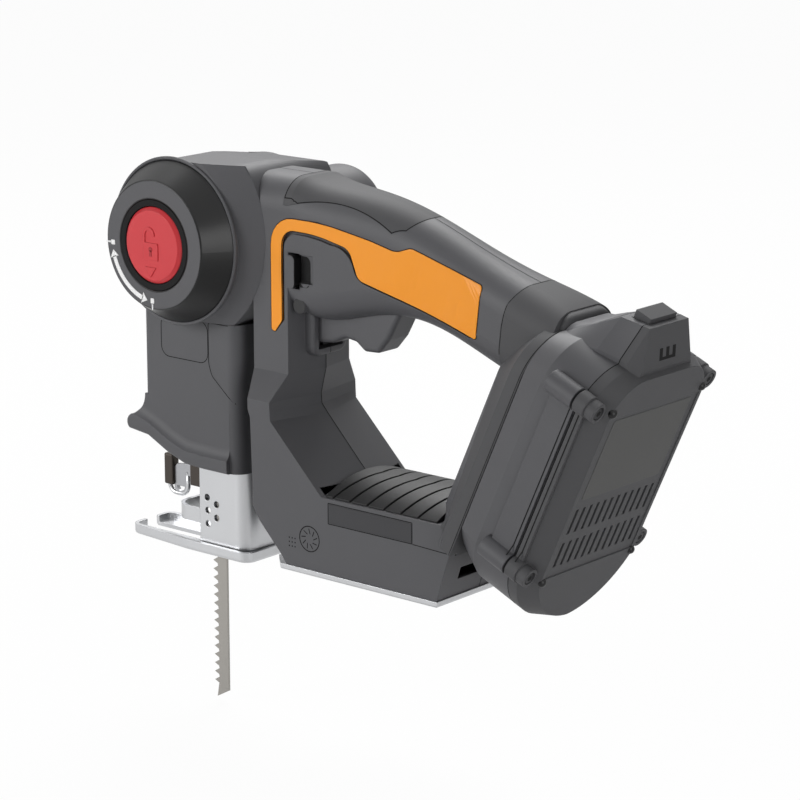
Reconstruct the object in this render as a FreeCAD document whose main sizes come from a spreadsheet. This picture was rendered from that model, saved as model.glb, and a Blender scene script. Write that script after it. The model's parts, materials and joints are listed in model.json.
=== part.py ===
import FreeCAD, Part
import math
import os
import Sketcher

# Cordless saw with a turning head.  X runs from the blade to the battery, Y to the tool's right, Z up.
# The origin is on the blade's line at the level of the shoe's sole.  Millimetres and degrees.

SIZES = [
    # head, about the pivot axis
    ("pivot_height", 148.0, "pivot axis above the sole"),
    ("knuckle_radius", 34.0, "round upper part of the head"),
    ("knuckle_gap", 0.5, "running gap between knuckle and gear housing"),
    ("head_half", 20.0, "half width of the head's column"),
    ("head_front", 29.1, "front face of the column ahead of the blade's line"),
    ("head_rear", 30.0, "rear face of the column behind the blade's line"),
    ("head_shoulder", 111.5, "top of the column behind the knuckle"),
    ("column_drop", 28.0, "top of the column ahead of that shoulder, below the pivot axis"),
    ("head_bottom", 42.5, "lower edge of the column at the rear"),
    ("visor_reach", 39.6, "how far the visor stands ahead of the blade's line"),
    ("visor_low", 55.0, "lower lip of the visor"),
    ("visor_high", 61.0, "upper lip of the visor"),
    ("visor_root", 70.5, "where the visor leaves the front face"),
    ("lip_proud", 2.4, "lip along the head's lower edge, outside the column's sides"),
    ("lip_height", 4.5, "height of that lip"),
    ("lip_sweep", 7.0, "hollow rounding above the lip"),
    ("cap_seat", 28.5, "pivot cap's inner edge, to the left of the blade"),
    ("cap_face", 41.8, "pivot cap's outer face, to the left of the blade"),
    ("cap_rim_radius", 37.0, "pivot cap at its inner edge"),
    ("turning_gap", 0.3, "gap between faces that turn past each other"),
    ("cap_face_radius", 29.0, "pivot cap's flat face"),
    ("bezel_radius", 20.75, "recess round the lock button"),
    ("button_radius", 17.2, "red axis lock button"),
    ("button_proud", 1.2, "button above the cap's face"),
    ("button_gap", 0.35, "gap round the button"),
    ("button_depth", 5.0, "thickness of the lock button's head"),
    ("stem_radius", 5.0, "lock button's stem"),
    ("lock_plate_side", 22.4, "right face of the lock plate, to the left of the blade"),
    ("lock_plate_radius", 21.6, "disc of the lock plate"),
    ("lock_spring_radius", 9.0, "outside of the lock spring"),
    ("lock_spring_length", 5.0, "lock spring as fitted"),
    ("wall", 2.4, "moulded wall"),
    # transverse gear housing and motor
    ("motor_x", 33.1, "motor axis behind the pivot"),
    ("motor_rise", 5.16, "motor axis above the pivot"),
    ("gear_module", 1.0, "tooth size of the reduction"),
    ("pinion_teeth", 12.0, "teeth of the motor pinion"),
    ("gear_teeth", 55.0, "teeth of the crank gear"),
    ("gear_side", 23.6, "left face of the gear, to the right of the blade"),
    ("gear_width", 6.0, "face width of the gears"),
    ("tooth_slack", 0.3, "thinning of each tooth"),
    ("web_side", 20.6, "left face of the gear housing's web"),
    ("gear_chamber_side", 30.4, "right end of the gear chamber"),
    ("shoulder_top", 184.6, "flat top of the gear housing"),
    ("chamber_radius", 32.4, "gear housing at its right end"),
    ("saddle_radius", 51.5, "rear edge of the gear housing"),
    ("saddle_x", -4.0, "centre of that edge, behind the pivot"),
    ("saddle_rise", 4.5, "centre of that edge, above the pivot"),
    ("motor_radius", 21.0, "motor can"),
    ("motor_length", 19.5, "motor can along its axis"),
    ("motor_cap_radius", 23.5, "round end cap over the motor"),
    ("motor_cap_end", 55.0, "outer face of the motor cap, to the right of the blade"),
    ("shaft_radius", 2.5, "motor shaft"),
    ("shaft_fit", 0.05, "radial clearance of shafts in their bearings"),
    ("crank_radius", 9.5, "crank pin from the pivot axis"),
    ("crank_pin_radius", 3.0, "crank pin"),
    ("crank_shaft_radius", 6.0, "crank shaft"),
    ("crank_bearing_radius", 9.0, "outside of the crank bearing"),
    ("crank_disc_radius", 15.0, "crank disc"),
    ("crank_disc_side", 5.2, "left face of the crank disc"),
    # cutting line
    ("rod_radius", 4.5, "plunger rod"),
    ("yoke_half", 3.0, "half thickness of the yoke"),
    ("yoke_reach", 17.0, "half length of the yoke"),
    ("yoke_height", 15.0, "height of the yoke"),
    ("clamp_radius", 7.0, "blade clamp"),
    ("clamp_bottom", 47.0, "lower end of the blade clamp"),
    ("clamp_top", 64.0, "upper end of the blade clamp"),
    ("bush_radius", 8.0, "outside of the plunger bushes"),
    ("rod_neck_radius", 3.0, "plunger rod beside the crank pin"),
    ("rod_neck_low", 124.0, "lower end of the plunger rod's neck"),
    ("lower_guide", 75.0, "underside of the lower plunger guide"),
    ("upper_guide", 98.8, "underside of the upper plunger guide"),
    ("guide_height", 10.0, "height of each plunger guide"),
    ("lever_collar_low", 50.0, "underside of the release lever's collar"),
    ("lever_reach", 30.0, "front of the release lever's loop"),
    ("lever_shoulder", 34.5, "top of the release lever ahead of the head's mouth"),
    ("lever_low", 24.0, "centre of the release lever's loop"),
    ("blade_back", 2.7, "blade's back edge behind the blade's line"),
    ("blade_width", 8.6, "blade from back edge to tooth tips"),
    ("blade_half", 0.6, "half thickness of the blade"),
    ("blade_tip", 75.0, "blade's point below the sole"),
    ("tooth_pitch", 4.2, "distance from tooth to tooth"),
    ("tooth_depth", 2.7, "depth of the teeth"),
    # shoe
    ("shoe_front", 47.0, "front end of the shoe"),
    ("shoe_rear", 31.0, "rear end of the shoe"),
    ("shoe_half", 16.5, "half width of the shoe at the bracket"),
    ("shoe_nose_half", 13.4, "half width of the shoe at its front"),
    ("shoe_rim", 5.0, "height of the shoe's rim"),
    ("sheet", 1.8, "steel sheet of shoe and bracket"),
    ("bracket_half", 13.5, "half width of the bracket"),
    ("bracket_front", 1.5, "front edge of the bracket's legs"),
    ("bracket_rear", 28.5, "rear wall of the bracket"),
    ("bracket_top", 62.0, "top of the bracket inside the head"),
    ("bracket_corner", 8.0, "outer corner radius of the bracket"),
    ("sight_hole", 1.65, "radius of the holes in the legs"),
    ("guard_reach", 18.0, "finger guard ahead of the blade's line"),
    ("guard_low", 13.5, "underside of the finger guard"),
    ("guard_high", 20.5, "top of the finger guard"),
    # main housing
    ("column_half", 20.4, "half width of the front column"),
    ("column_front", 40.0, "front face of the column"),
    ("column_rear", 60.4, "rear edges of the column's sides"),
    ("column_ridge", 4.2, "ridge of the column's rear face behind its edges"),
    ("shoulder_high", 94.7, "where the column starts to widen"),
    ("shoulder_low", 82.7, "where the column has reached the base's width"),
    ("base_half", 29.0, "half width of the base"),
    ("base_floor", 10.7, "underside of the moulded base"),
    ("base_rear", 152.0, "rear end of the base"),
    ("base_deck", 45.0, "top of the base at its sides"),
    ("pad_crown", 52.0, "top of the ribbed pad"),
    ("plate_thick", 2.7, "base plate"),
    ("plate_proud", 0.6, "base plate outside the moulding"),
    ("handle_half", 16.0, "half width of the handle"),
    ("handle_front", 62.0, "where the handle's front block ends"),
    ("handle_top", 181.5, "top of the front block"),
    ("handle_under", 121.5, "underside of the front block"),
    ("screw_seat", 10.0, "seat of the housing screws' heads, to the right of the blade"),
    ("trigger_pin_x", 66.0, "trigger's hinge pin behind the blade's line"),
    ("trigger_pin_z", 126.0, "trigger's hinge pin above the sole"),
    ("trigger_pin_radius", 1.5, "trigger's hinge pin"),
    ("inlay_thick", 1.6, "orange inlay"),
    # battery dock, in the pack's tilted frame
    ("tilt", 24.0, "lean of the battery pack"),
    ("dock_face", 135.7, "face the pack slides on"),
    ("dock_half", 34.5, "half width of the dock and of the pack's front"),
    ("dock_flange", 6.5, "thickness of the dock's flange"),
    ("pack_gap", 0.4, "gap between pack and dock"),
    ("pack_half", 38.0, "half width of the pack"),
    ("pack_split", 166.5, "joint between the pack's two cases"),
    ("pack_back", 179.0, "rear face of the pack"),
    ("pack_low", 85.5, "lowest point of the pack"),
    ("pack_side_low", 113.5, "lower end of the pack's straight sides"),
    ("pack_foot_radius", 37.5, "rounding of the pack's lower end"),
    ("pack_corner", 20.0, "rounding of the pack's upper corners"),
    ("pack_high", 212.5, "top of the pack beside the latch"),
    ("panel_proud", 1.2, "raised side panels of the pack"),
    ("hump_high", 230.0, "top of the latch housing"),
    ("hump_half", 20.0, "half width of the latch housing at its rear foot"),
    ("rail_half", 23.0, "half width of the dock's tongue"),
    ("rail_depth", 10.0, "height of the dock's tongue"),
    ("rail_low", 126.0, "lower end of the dock's tongue"),
    ("rail_high", 180.0, "upper end of the dock's tongue"),
    ("cell_radius", 9.0, "battery cell"),
    ("cell_length", 65.0, "battery cell"),
    ("cell_pitch", 18.3, "distance from cell to cell"),
    ("cells_low", 106.5, "lower end of the row of cells"),
]

doc = FreeCAD.newDocument("Saw")
sheet = doc.addObject("Spreadsheet::Sheet", "Sizes")
for row, (alias, number, meaning) in enumerate(SIZES, 1):
    sheet.set(f"A{row}", meaning)
    sheet.set(f"B{row}", str(number))
    sheet.setAlias(f"B{row}", alias)
doc.recompute()


class Size:
    """A value with the spreadsheet expression that it comes from."""

    def __init__(self, number, text):
        self.number = float(number)
        self.text = text

    def __add__(self, other):
        return combine(self, other, "+")

    def __radd__(self, other):
        return combine(other, self, "+")

    def __sub__(self, other):
        return combine(self, other, "-")

    def __rsub__(self, other):
        return combine(other, self, "-")

    def __mul__(self, other):
        return combine(self, other, "*")

    def __rmul__(self, other):
        return combine(other, self, "*")

    def __truediv__(self, other):
        return combine(self, other, "/")

    def __neg__(self):
        return combine(0, self, "-")

    def __float__(self):
        return self.number


def combine(left, right, sign):
    a, b = float(left), float(right)
    number = {"+": a + b, "-": a - b, "*": a * b, "/": a / b if b else 0}[sign]
    words = [x.text if isinstance(x, Size) else repr(float(x)) for x in (left, right)]
    return Size(number, f"({words[0]} {sign} {words[1]})")


class Sizes:
    """Every spreadsheet cell by its alias."""


S = Sizes()
for alias, number, meaning in SIZES:
    setattr(S, alias, Size(sheet.get(alias), f"Sizes.{alias}"))


def bind(thing, prop, value):
    if isinstance(value, Size):
        thing.setExpression(prop, value.text)
    else:
        names = prop.split(".")
        if len(names) == 1:
            setattr(thing, prop, value)
        else:
            thing.setExpression(prop, repr(float(value)))


nodes = {}
cuts = []


def node(thing, label):
    """Names an object as one of the pieces that are written out."""
    thing.Label = label
    nodes[label] = thing
    return thing


def place(thing, x=0, y=0, z=0, axis=(0, 0, 1), angle=0):
    """Puts an object at a bound place, turned about one axis."""
    thing.Placement = FreeCAD.Placement(
        FreeCAD.Vector(float(x), float(y), float(z)),
        FreeCAD.Rotation(FreeCAD.Vector(*axis), float(angle)))
    for letter, value in zip("xyz", (x, y, z)):
        if isinstance(value, Size):
            thing.setExpression(f"Placement.Base.{letter}", value.text)
    if isinstance(angle, Size):
        thing.setExpression("Placement.Rotation.Angle", angle.text)
    return thing


# ---------------------------------------------------------------- sketches

def outline(sk, points):
    """Adds a closed outline. A third value on a point bends the side that follows it to that
    radius: a positive one bulges to the right of the direction of travel."""
    start = sk.GeometryCount
    count = len(points)
    for i, point in enumerate(points):
        a, b = flat(point), flat(points[(i + 1) % count])
        if len(point) == 2:
            sk.addGeometry(Part.LineSegment(a, b), False)
            continue
        radius = float(point[2])
        chord = b - a
        side = FreeCAD.Vector(chord.y, -chord.x, 0).normalize() * math.copysign(1, radius)
        sag = abs(radius) - math.sqrt(max(radius ** 2 - (chord.Length / 2) ** 2, 0))
        through = (a + b) * 0.5 + side * sag
        sk.addGeometry(Part.Arc(a, through, b) if radius > 0 else Part.Arc(b, through, a), False)
    for i, point in enumerate(points):
        ahead = points[(i + 1) % count]
        this, following = start + i, start + (i + 1) % count
        entry, exit_vertex = ends(point)
        sk.addConstraint(Sketcher.Constraint("Coincident", this, exit_vertex, following, ends(ahead)[0]))
        hold(sk, "DistanceX", this, entry, point[0])
        hold(sk, "DistanceY", this, entry, point[1])
        if len(point) > 2:
            bend(sk, this, point, ahead)


def flat(point):
    return FreeCAD.Vector(float(point[0]), float(point[1]), 0)


def ends(point):
    """The vertices at which the side after a point starts and ends; arcs run anticlockwise."""
    return (2, 1) if len(point) > 2 and float(point[2]) < 0 else (1, 2)


def bend(sk, element, point, ahead):
    """Holds an arc's radius, or a half circle's centre."""
    chord = flat(ahead) - flat(point)
    radius = point[2]
    if abs(abs(float(radius)) - chord.Length / 2) < 1e-6:
        upright = abs(chord.x) < abs(chord.y)
        hold(sk, "DistanceX" if upright else "DistanceY", element, 3, point[0] if upright else point[1])
        return
    index = sk.addConstraint(Sketcher.Constraint("Radius", element, abs(float(radius))))
    if isinstance(radius, Size):
        text = radius.text if radius.number > 0 else f"(0 - {radius.text})"
        sk.setExpression(f"Constraints[{index}]", text)


def hold(sk, kind, element, vertex, value):
    index = sk.addConstraint(Sketcher.Constraint(kind, -1, 1, element, vertex, float(value)))
    if isinstance(value, Size):
        sk.setExpression(f"Constraints[{index}]", value.text)


def circle(sk, x, y, radius):
    centre = FreeCAD.Vector(float(x), float(y), 0)
    element = sk.addGeometry(Part.Circle(centre, FreeCAD.Vector(0, 0, 1), float(radius)), False)
    hold(sk, "DistanceX", element, 3, x)
    hold(sk, "DistanceY", element, 3, y)
    index = sk.addConstraint(Sketcher.Constraint("Radius", element, float(radius)))
    if isinstance(radius, Size):
        sk.setExpression(f"Constraints[{index}]", radius.text)


FACING = {
    "side": ((1, 0, 0), 90),       # X right, Z up, extrudes towards -Y
    "plan": ((0, 0, 1), 0),        # X right, Y up, extrudes towards +Z
    "front": ((1, 1, 1), 120),     # Y right, Z up, extrudes towards +X
}


def free_sketch(facing, at=0):
    """A sketch that belongs to no body, on a plane of the shared frame."""
    sk = doc.addObject("Sketcher::SketchObject", "Outline")
    axis, angle = FACING[facing]
    shift = {"side": (0, at, 0), "plan": (0, 0, at), "front": (at, 0, 0)}[facing]
    return place(sk, *shift, axis=axis, angle=angle)


def body(label, x=0, y=0, z=0, axis=(0, 0, 1), angle=0):
    made = doc.addObject("PartDesign::Body", "Body")
    place(made, x, y, z, axis, angle)
    return node(made, label)


def across(label, x=0, z=0):
    """A body whose own Z points to the tool's left, for what turns about a transverse axis."""
    return body(label, x, 0, z, (1, 0, 0), 90)


def sketch_in(owner, role="XZ_Plane", offset=0):
    sk = owner.newObject("Sketcher::SketchObject", "Sketch")
    planes = {f.Role: f for f in owner.Origin.OriginFeatures}
    sk.AttachmentSupport = [(planes[role], "")]
    sk.MapMode = "FlatFace"
    if isinstance(offset, Size) or offset:
        sk.AttachmentOffset = FreeCAD.Placement(
            FreeCAD.Vector(0, 0, float(offset)), FreeCAD.Rotation())
        if isinstance(offset, Size):
            sk.setExpression("AttachmentOffset.Base.z", offset.text)
    return sk


# ---------------------------------------------------------------- features

def pad(owner, sk, length, midplane=False, back=False):
    made = owner.newObject("PartDesign::Pad", "Pad")
    made.Profile = sk
    bind(made, "Length", length)
    made.Midplane = midplane
    made.Reversed = back
    return made


def pocket(owner, sk, length=None, midplane=False, back=False):
    made = owner.newObject("PartDesign::Pocket", "Pocket")
    made.Profile = sk
    if length is None:
        made.Type = "ThroughAll"
    else:
        bind(made, "Length", length)
    made.Midplane = midplane
    made.Reversed = back
    cuts.append(made)
    return made


def revolve(owner, sk):
    made = owner.newObject("PartDesign::Revolution", "Revolution")
    made.Profile = sk
    made.ReferenceAxis = (sk, ["V_Axis"])
    made.Angle = 360
    return made


def turned(label, points, x=0, z=0, more=()):
    """A turned piece on a transverse axis: its outlines give radius and distance to the left."""
    owner = across(label, x, z)
    for shape in (points, *more):
        sk = sketch_in(owner)
        outline(sk, shape)
        revolve(owner, sk)
    return owner


def round_edges(owner, base, radius, chosen):
    """A fillet on the edges of a feature that a test picks."""
    doc.recompute()
    names = [f"Edge{i}" for i, edge in enumerate(base.Shape.Edges, 1) if chosen(edge)]
    made = owner.newObject("PartDesign::Fillet", "Fillet")
    made.Base = (base, names)
    bind(made, "Radius", radius)
    return made


def ring_pattern(owner, features, axis_role, count):
    made = owner.newObject("PartDesign::PolarPattern", "Ring")
    made.Originals = features
    axes = {f.Role: f for f in owner.Origin.OriginFeatures}
    made.Axis = (axes[axis_role], [""])
    made.Angle = 360
    made.Occurrences = count
    owner.Tip = made
    return made


def prism(sk, length, midplane=True, back=False):
    """A free sketch drawn out, to both sides of its plane unless told otherwise."""
    made = doc.addObject("Part::Extrusion", "Prism")
    made.Base = sk
    made.DirMode = "Normal"
    made.Solid = True
    made.Symmetric = midplane
    made.Reversed = back
    bind(made, "LengthFwd", length)
    return made


def side_prism(points, half):
    """A side view's outline drawn out to both sides of the middle plane."""
    sk = free_sketch("side")
    outline(sk, points)
    return prism(sk, half * 2)


def inset_prism(source, half, wall):
    """The inside of a side prism: its outline moved in by the wall."""
    shrunk = doc.addObject("Part::Offset2D", "Inset")
    shrunk.Source = source.Base
    bind(shrunk, "Value", -wall)
    shrunk.Join = 2
    return prism(shrunk, (half - wall) * 2)


def box(x0, x1, y0, y1, z0, z1):
    made = doc.addObject("Part::Box", "Box")
    bind(made, "Length", x1 - x0)
    bind(made, "Width", y1 - y0)
    bind(made, "Height", z1 - z0)
    return place(made, x0, y0, z0)


def rod(x, z, radius, left, right):
    """A cylinder along Y from one distance right of the middle plane to another."""
    made = doc.addObject("Part::Cylinder", "Rod")
    bind(made, "Radius", radius)
    bind(made, "Height", right - left)
    return place(made, x, left, z, (1, 0, 0), -90)


def post(x, y, radius, low, high):
    made = doc.addObject("Part::Cylinder", "Post")
    bind(made, "Radius", radius)
    bind(made, "Height", high - low)
    return place(made, x, y, low)


def fuse(*pieces):
    made = doc.addObject("Part::MultiFuse", "Fuse")
    made.Shapes = list(pieces)
    return made


def cut(base, *tools):
    made = doc.addObject("Part::Cut", "Cut")
    made.Base = base
    made.Tool = tools[0] if len(tools) == 1 else fuse(*tools)
    return made


def common(a, b):
    made = doc.addObject("Part::Common", "Common")
    made.Base = a
    made.Tool = b
    return made


def soften(base, radius, chosen):
    """A fillet on a free solid's edges that a test picks."""
    doc.recompute()
    made = doc.addObject("Part::Fillet", "Fillet")
    made.Base = base
    made.Edges = [(i, float(radius), float(radius))
                  for i, edge in enumerate(base.Shape.Edges, 1) if chosen(edge)]
    return made


def straight_along(edge, axis):
    if edge.Curve.TypeId != "Part::GeomLine":
        return False
    return abs(edge.Curve.Direction.dot(FreeCAD.Vector(*axis))) > 0.999


def middle(edge):
    return edge.BoundBox.Center


# ---------------------------------------------------------------- head

def make_pivot_cap():
    """Conical cap on the left of the head, with a recess round the lock button."""
    inner = S.button_radius + S.button_gap
    lip = S.cap_face - 1.4
    cap = turned("pivot_cap", [
        (inner, S.cap_face - 7), (inner, lip), (S.bezel_radius - 0.8, lip),
        (S.bezel_radius, S.cap_face), (S.cap_face_radius, S.cap_face),
        (S.cap_rim_radius, S.cap_seat), (S.knuckle_radius - S.wall, S.cap_seat),
        (S.cap_face_radius - 1.2, S.cap_face - S.wall),
        (S.bezel_radius + 0.3, S.cap_face - S.wall), (S.bezel_radius + 0.3, S.cap_face - 7),
    ], z=S.pivot_height)
    round_edges(cap, cap.Tip, 1.0, lambda e: e.Curve.TypeId == "Part::GeomCircle"
                and abs(e.Curve.Radius - S.cap_face_radius.number) < 0.01)


def make_axis_lock_button():
    """Red push button that frees the head, on a stem that carries the lock plate."""
    face = S.cap_face + S.button_proud
    back = S.cap_face - S.button_depth
    stem = S.lock_plate_side + S.sheet
    turned("axis_lock_button", [
        (0, stem), (S.stem_radius, stem), (S.stem_radius, back), (S.button_radius, back),
        (S.button_radius, face - 1.6), (S.button_radius - 1.6, face), (0, face),
    ], z=S.pivot_height)


def make_lock_plate():
    """Steel plate behind the button with four dogs that lock the head at each end of its turn."""
    plate = across("lock_plate", z=S.pivot_height)
    reach = S.knuckle_radius - S.wall - 1
    sk = sketch_in(plate, "XY_Plane", S.lock_plate_side)
    circle(sk, 0, 0, S.lock_plate_radius)
    pad(plate, sk, S.sheet)
    dog = sketch_in(plate, "XY_Plane", S.lock_plate_side)
    outline(dog, [(12, -4), (reach, -4), (reach, 4), (12, 4)])
    arm = pad(plate, dog, S.sheet)
    ring_pattern(plate, [arm], "Z_Axis", 4)


def make_lock_spring():
    """Coil spring that pushes the lock button out, as its outer tube."""
    right, left = S.lock_plate_side - S.lock_spring_length, S.lock_plate_side - S.turning_gap
    inner = S.lock_spring_radius - 2
    turned("lock_spring", [(inner, right), (S.lock_spring_radius, right), (S.lock_spring_radius, left),
                           (inner, left)], z=S.pivot_height)


def head_column():
    """The head's column down to the upper edge of its lip."""
    zp = S.pivot_height
    return side_prism([
        (-S.head_front, zp - 18), (-S.head_front, S.visor_low), (-14.3, S.head_bottom + 5),
        (-1.6, S.head_bottom), (S.head_rear, S.head_bottom),
        (S.head_rear, S.head_shoulder), (12, S.head_shoulder), (12, zp - S.column_drop),
    ], S.head_half)


def lip_line():
    """Lower edge of the head, from the visor's nose back along the lip."""
    return [(1.6 - S.visor_reach, S.visor_low - 0.8), (-26, S.visor_low - 2.2), (-14.3, S.head_bottom + 4.6),
            (-3, S.head_bottom + 0.6), (9, S.head_bottom)]


def make_lip():
    """The visor and the lip that runs back from it, swept out of the column's sides."""
    half = S.head_half + S.lip_proud
    edge = lip_line()
    visor = side_prism([
        (-S.head_front, S.visor_root + 1.5, -11), (2.2 - S.visor_reach, S.visor_high, 4), *edge,
        (S.head_rear - 6, S.head_bottom), (S.head_rear - 6, S.visor_root),
        (4 - S.head_front, S.visor_root + 1.5),
    ], half)
    nose = soften(visor, 1.6, lambda e: not straight_along(e, (0, 1, 0)) and middle(e).x < 20
                  and middle(e).z < S.visor_root.number and abs(middle(e).y) > half.number - 0.01)
    above = [(x, z + S.lip_height) for x, z in edge]
    sides = []
    for at, back in ((-S.head_half, False), (S.head_half, True)):
        sk = free_sketch("side", at)
        outline(sk, [(-60, S.visor_high - 0.5), (-S.visor_reach + 3, S.visor_high - 0.5), *above[1:],
                     (60, S.head_bottom + S.lip_height), (60, 100), (-60, 100)])
        block = prism(sk, 12, midplane=False, back=back)
        sides.append(soften(block, S.lip_sweep, lambda e: middle(e).z < S.visor_high.number
                            and abs(abs(middle(e).y) - S.head_half.number) < 0.01))
    return cut(nose, *sides)


def make_head_shells():
    """Left and right mouldings of the head, split on the blade's plane."""
    zp = S.pivot_height
    knuckle = rod(0, zp, S.knuckle_radius, -S.cap_seat, S.head_half)
    column = head_column()
    rear = soften(column, 7, lambda e: straight_along(e, (0, 0, 1)) and e.Length > 30 and middle(e).x > 0)
    corners = soften(rear, 3, lambda e: straight_along(e, (0, 0, 1)) and e.Length > 30
                     and middle(e).x < 1 - S.head_front.number)
    room = rod(0, zp, S.knuckle_radius - S.wall, -S.cap_seat, S.head_half - S.wall)
    inside = inset_prism(column, S.head_half, S.wall)
    gap = S.turning_gap
    bracket_way = box(-S.bracket_front - gap, S.bracket_rear + gap, -S.bracket_half - gap, S.bracket_half + gap,
                      S.head_bottom - 10, S.head_bottom + 20)
    lever_way = box(5 - S.head_front, -S.bracket_front - gap, S.wall - S.head_half, S.head_half - S.wall,
                    S.head_bottom - 10, S.head_bottom + 20)
    shaft_way = rod(0, zp, S.crank_shaft_radius + 2, S.head_half - 5, S.head_half + 5)
    seat = S.lock_plate_side - S.lock_spring_length - gap
    spring_seat = rod(0, zp, S.knuckle_radius - 1, -seat, S.wall - seat)
    shell = fuse(cut(fuse(knuckle, corners, make_lip()), room, inside, bracket_way, lever_way, shaft_way),
                 spring_seat)
    left = common(shell, box(-60, 60, -60, 0, 0, 200))
    right = common(shell, box(-60, 60, 0, 60, 0, 200))
    node(left, "head_left_shell")
    node(right, "head_right_shell")


def make_plunger_guides():
    """Two aluminium blocks that carry the plunger bushes between the head's shells."""
    inside = S.head_half - S.wall
    guides = body("plunger_guides")
    for low in (S.lower_guide, S.upper_guide):
        sk = sketch_in(guides, "XY_Plane", low)
        outline(sk, [(-12, -inside), (14, -inside), (14, inside), (-12, inside)])
        pad(guides, sk, S.guide_height)
    sk = sketch_in(guides, "XY_Plane", S.lower_guide - 1)
    circle(sk, 0, 0, S.bush_radius)
    pocket(guides, sk, S.upper_guide - S.lower_guide + S.guide_height + 5, back=True)


def make_plunger_bushes():
    bushes = body("plunger_bushes")
    for low in (S.lower_guide, S.upper_guide):
        sk = sketch_in(bushes, "XY_Plane", low)
        circle(sk, 0, 0, S.bush_radius)
        circle(sk, 0, 0, S.rod_radius + S.shaft_fit)
        pad(bushes, sk, S.guide_height)


def make_shoe_bracket():
    """Folded steel bracket: two drilled legs and a rounded back that join shoe and head."""
    bracket = body("shoe_bracket")
    half, front, rear = S.bracket_half, -S.bracket_front, S.bracket_rear
    sk = sketch_in(bracket, "XY_Plane", S.sheet)
    r = S.bracket_corner
    i = S.bracket_corner - S.sheet
    outline(sk, [
        (front, -half), (rear - r, -half, r), (rear, r - half), (rear, half - r, r),
        (rear - r, half), (front, half), (front, half - S.sheet), (rear - r, half - S.sheet, -i),
        (rear - S.sheet, half - r), (rear - S.sheet, r - half, -i), (rear - r, S.sheet - half),
        (front, S.sheet - half),
    ])
    pad(bracket, sk, S.bracket_top - S.sheet)
    holes = sketch_in(bracket, "XZ_Plane")
    for x, z in ((3.2, 26.5), (3.6, 20.4), (3.6, 14.0), (9.0, 24.0), (9.0, 17.6)):
        circle(holes, x, z, S.sight_hole)
    pocket(bracket, holes, 80, midplane=True)


def make_shoe():
    """Foot plate with a rolled rim, open to the front round the blade."""
    shoe = body("shoe")
    nose, half = S.shoe_nose_half, S.shoe_half
    plan = [
        (-S.shoe_front + 5, -nose), (-8, -half), (S.shoe_rear - 6, -half, 6), (S.shoe_rear, 6 - half),
        (S.shoe_rear, half - 6, 6), (S.shoe_rear - 6, half), (-8, half), (-S.shoe_front + 5, nose, 5),
        (-S.shoe_front, nose - 5), (-S.shoe_front, 5 - nose, 5),
    ]
    sk = sketch_in(shoe, "XY_Plane")
    outline(sk, plan)
    body_pad = pad(shoe, sk, S.shoe_rim)
    round_edges(shoe, body_pad, 1.6, lambda e: abs(e.BoundBox.ZMax) < 0.01)
    well = sketch_in(shoe, "XY_Plane", S.shoe_rim)
    w = S.sheet
    outline(well, [
        (-S.shoe_front + 5, w - nose), (-8, w - half), (S.shoe_rear - 6, w - half, 6 - w),
        (S.shoe_rear - w, 6 - half), (S.shoe_rear - w, half - 6, 6 - w), (S.shoe_rear - 6, half - w),
        (-8, half - w), (-S.shoe_front + 5, nose - w, 5 - w), (w - S.shoe_front, nose - 5),
        (w - S.shoe_front, 5 - nose, 5 - w),
    ])
    pocket(shoe, well, S.shoe_rim - w)
    slot = sketch_in(shoe, "XY_Plane", S.shoe_rim)
    outline(slot, [(-S.shoe_front - 1, -4), (6, -4, 4), (6, 4), (-S.shoe_front - 1, 4)])
    pocket(shoe, slot, S.shoe_rim + 1)


def make_finger_guard():
    """Bent strip ahead of the blade, joined to the front edges of the bracket's legs."""
    guard = body("finger_guard")
    half, front = S.bracket_half, -S.bracket_front
    turn = half
    i = turn - S.sheet
    sk = sketch_in(guard, "XY_Plane", S.guard_low)
    bend = -S.guard_reach + 8
    outline(sk, [
        (front, half), (bend, half, 8), (bend - 8, half - 8), (bend - 8, 8 - half, 8),
        (bend, -half), (front, -half), (front, S.sheet - half), (bend, S.sheet - half, S.sheet - 8),
        (bend - 8 + S.sheet, 8 - half), (bend - 8 + S.sheet, half - 8, S.sheet - 8),
        (bend, half - S.sheet), (front, half - S.sheet),
    ])
    pad(guard, sk, S.guard_high - S.guard_low)


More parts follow.
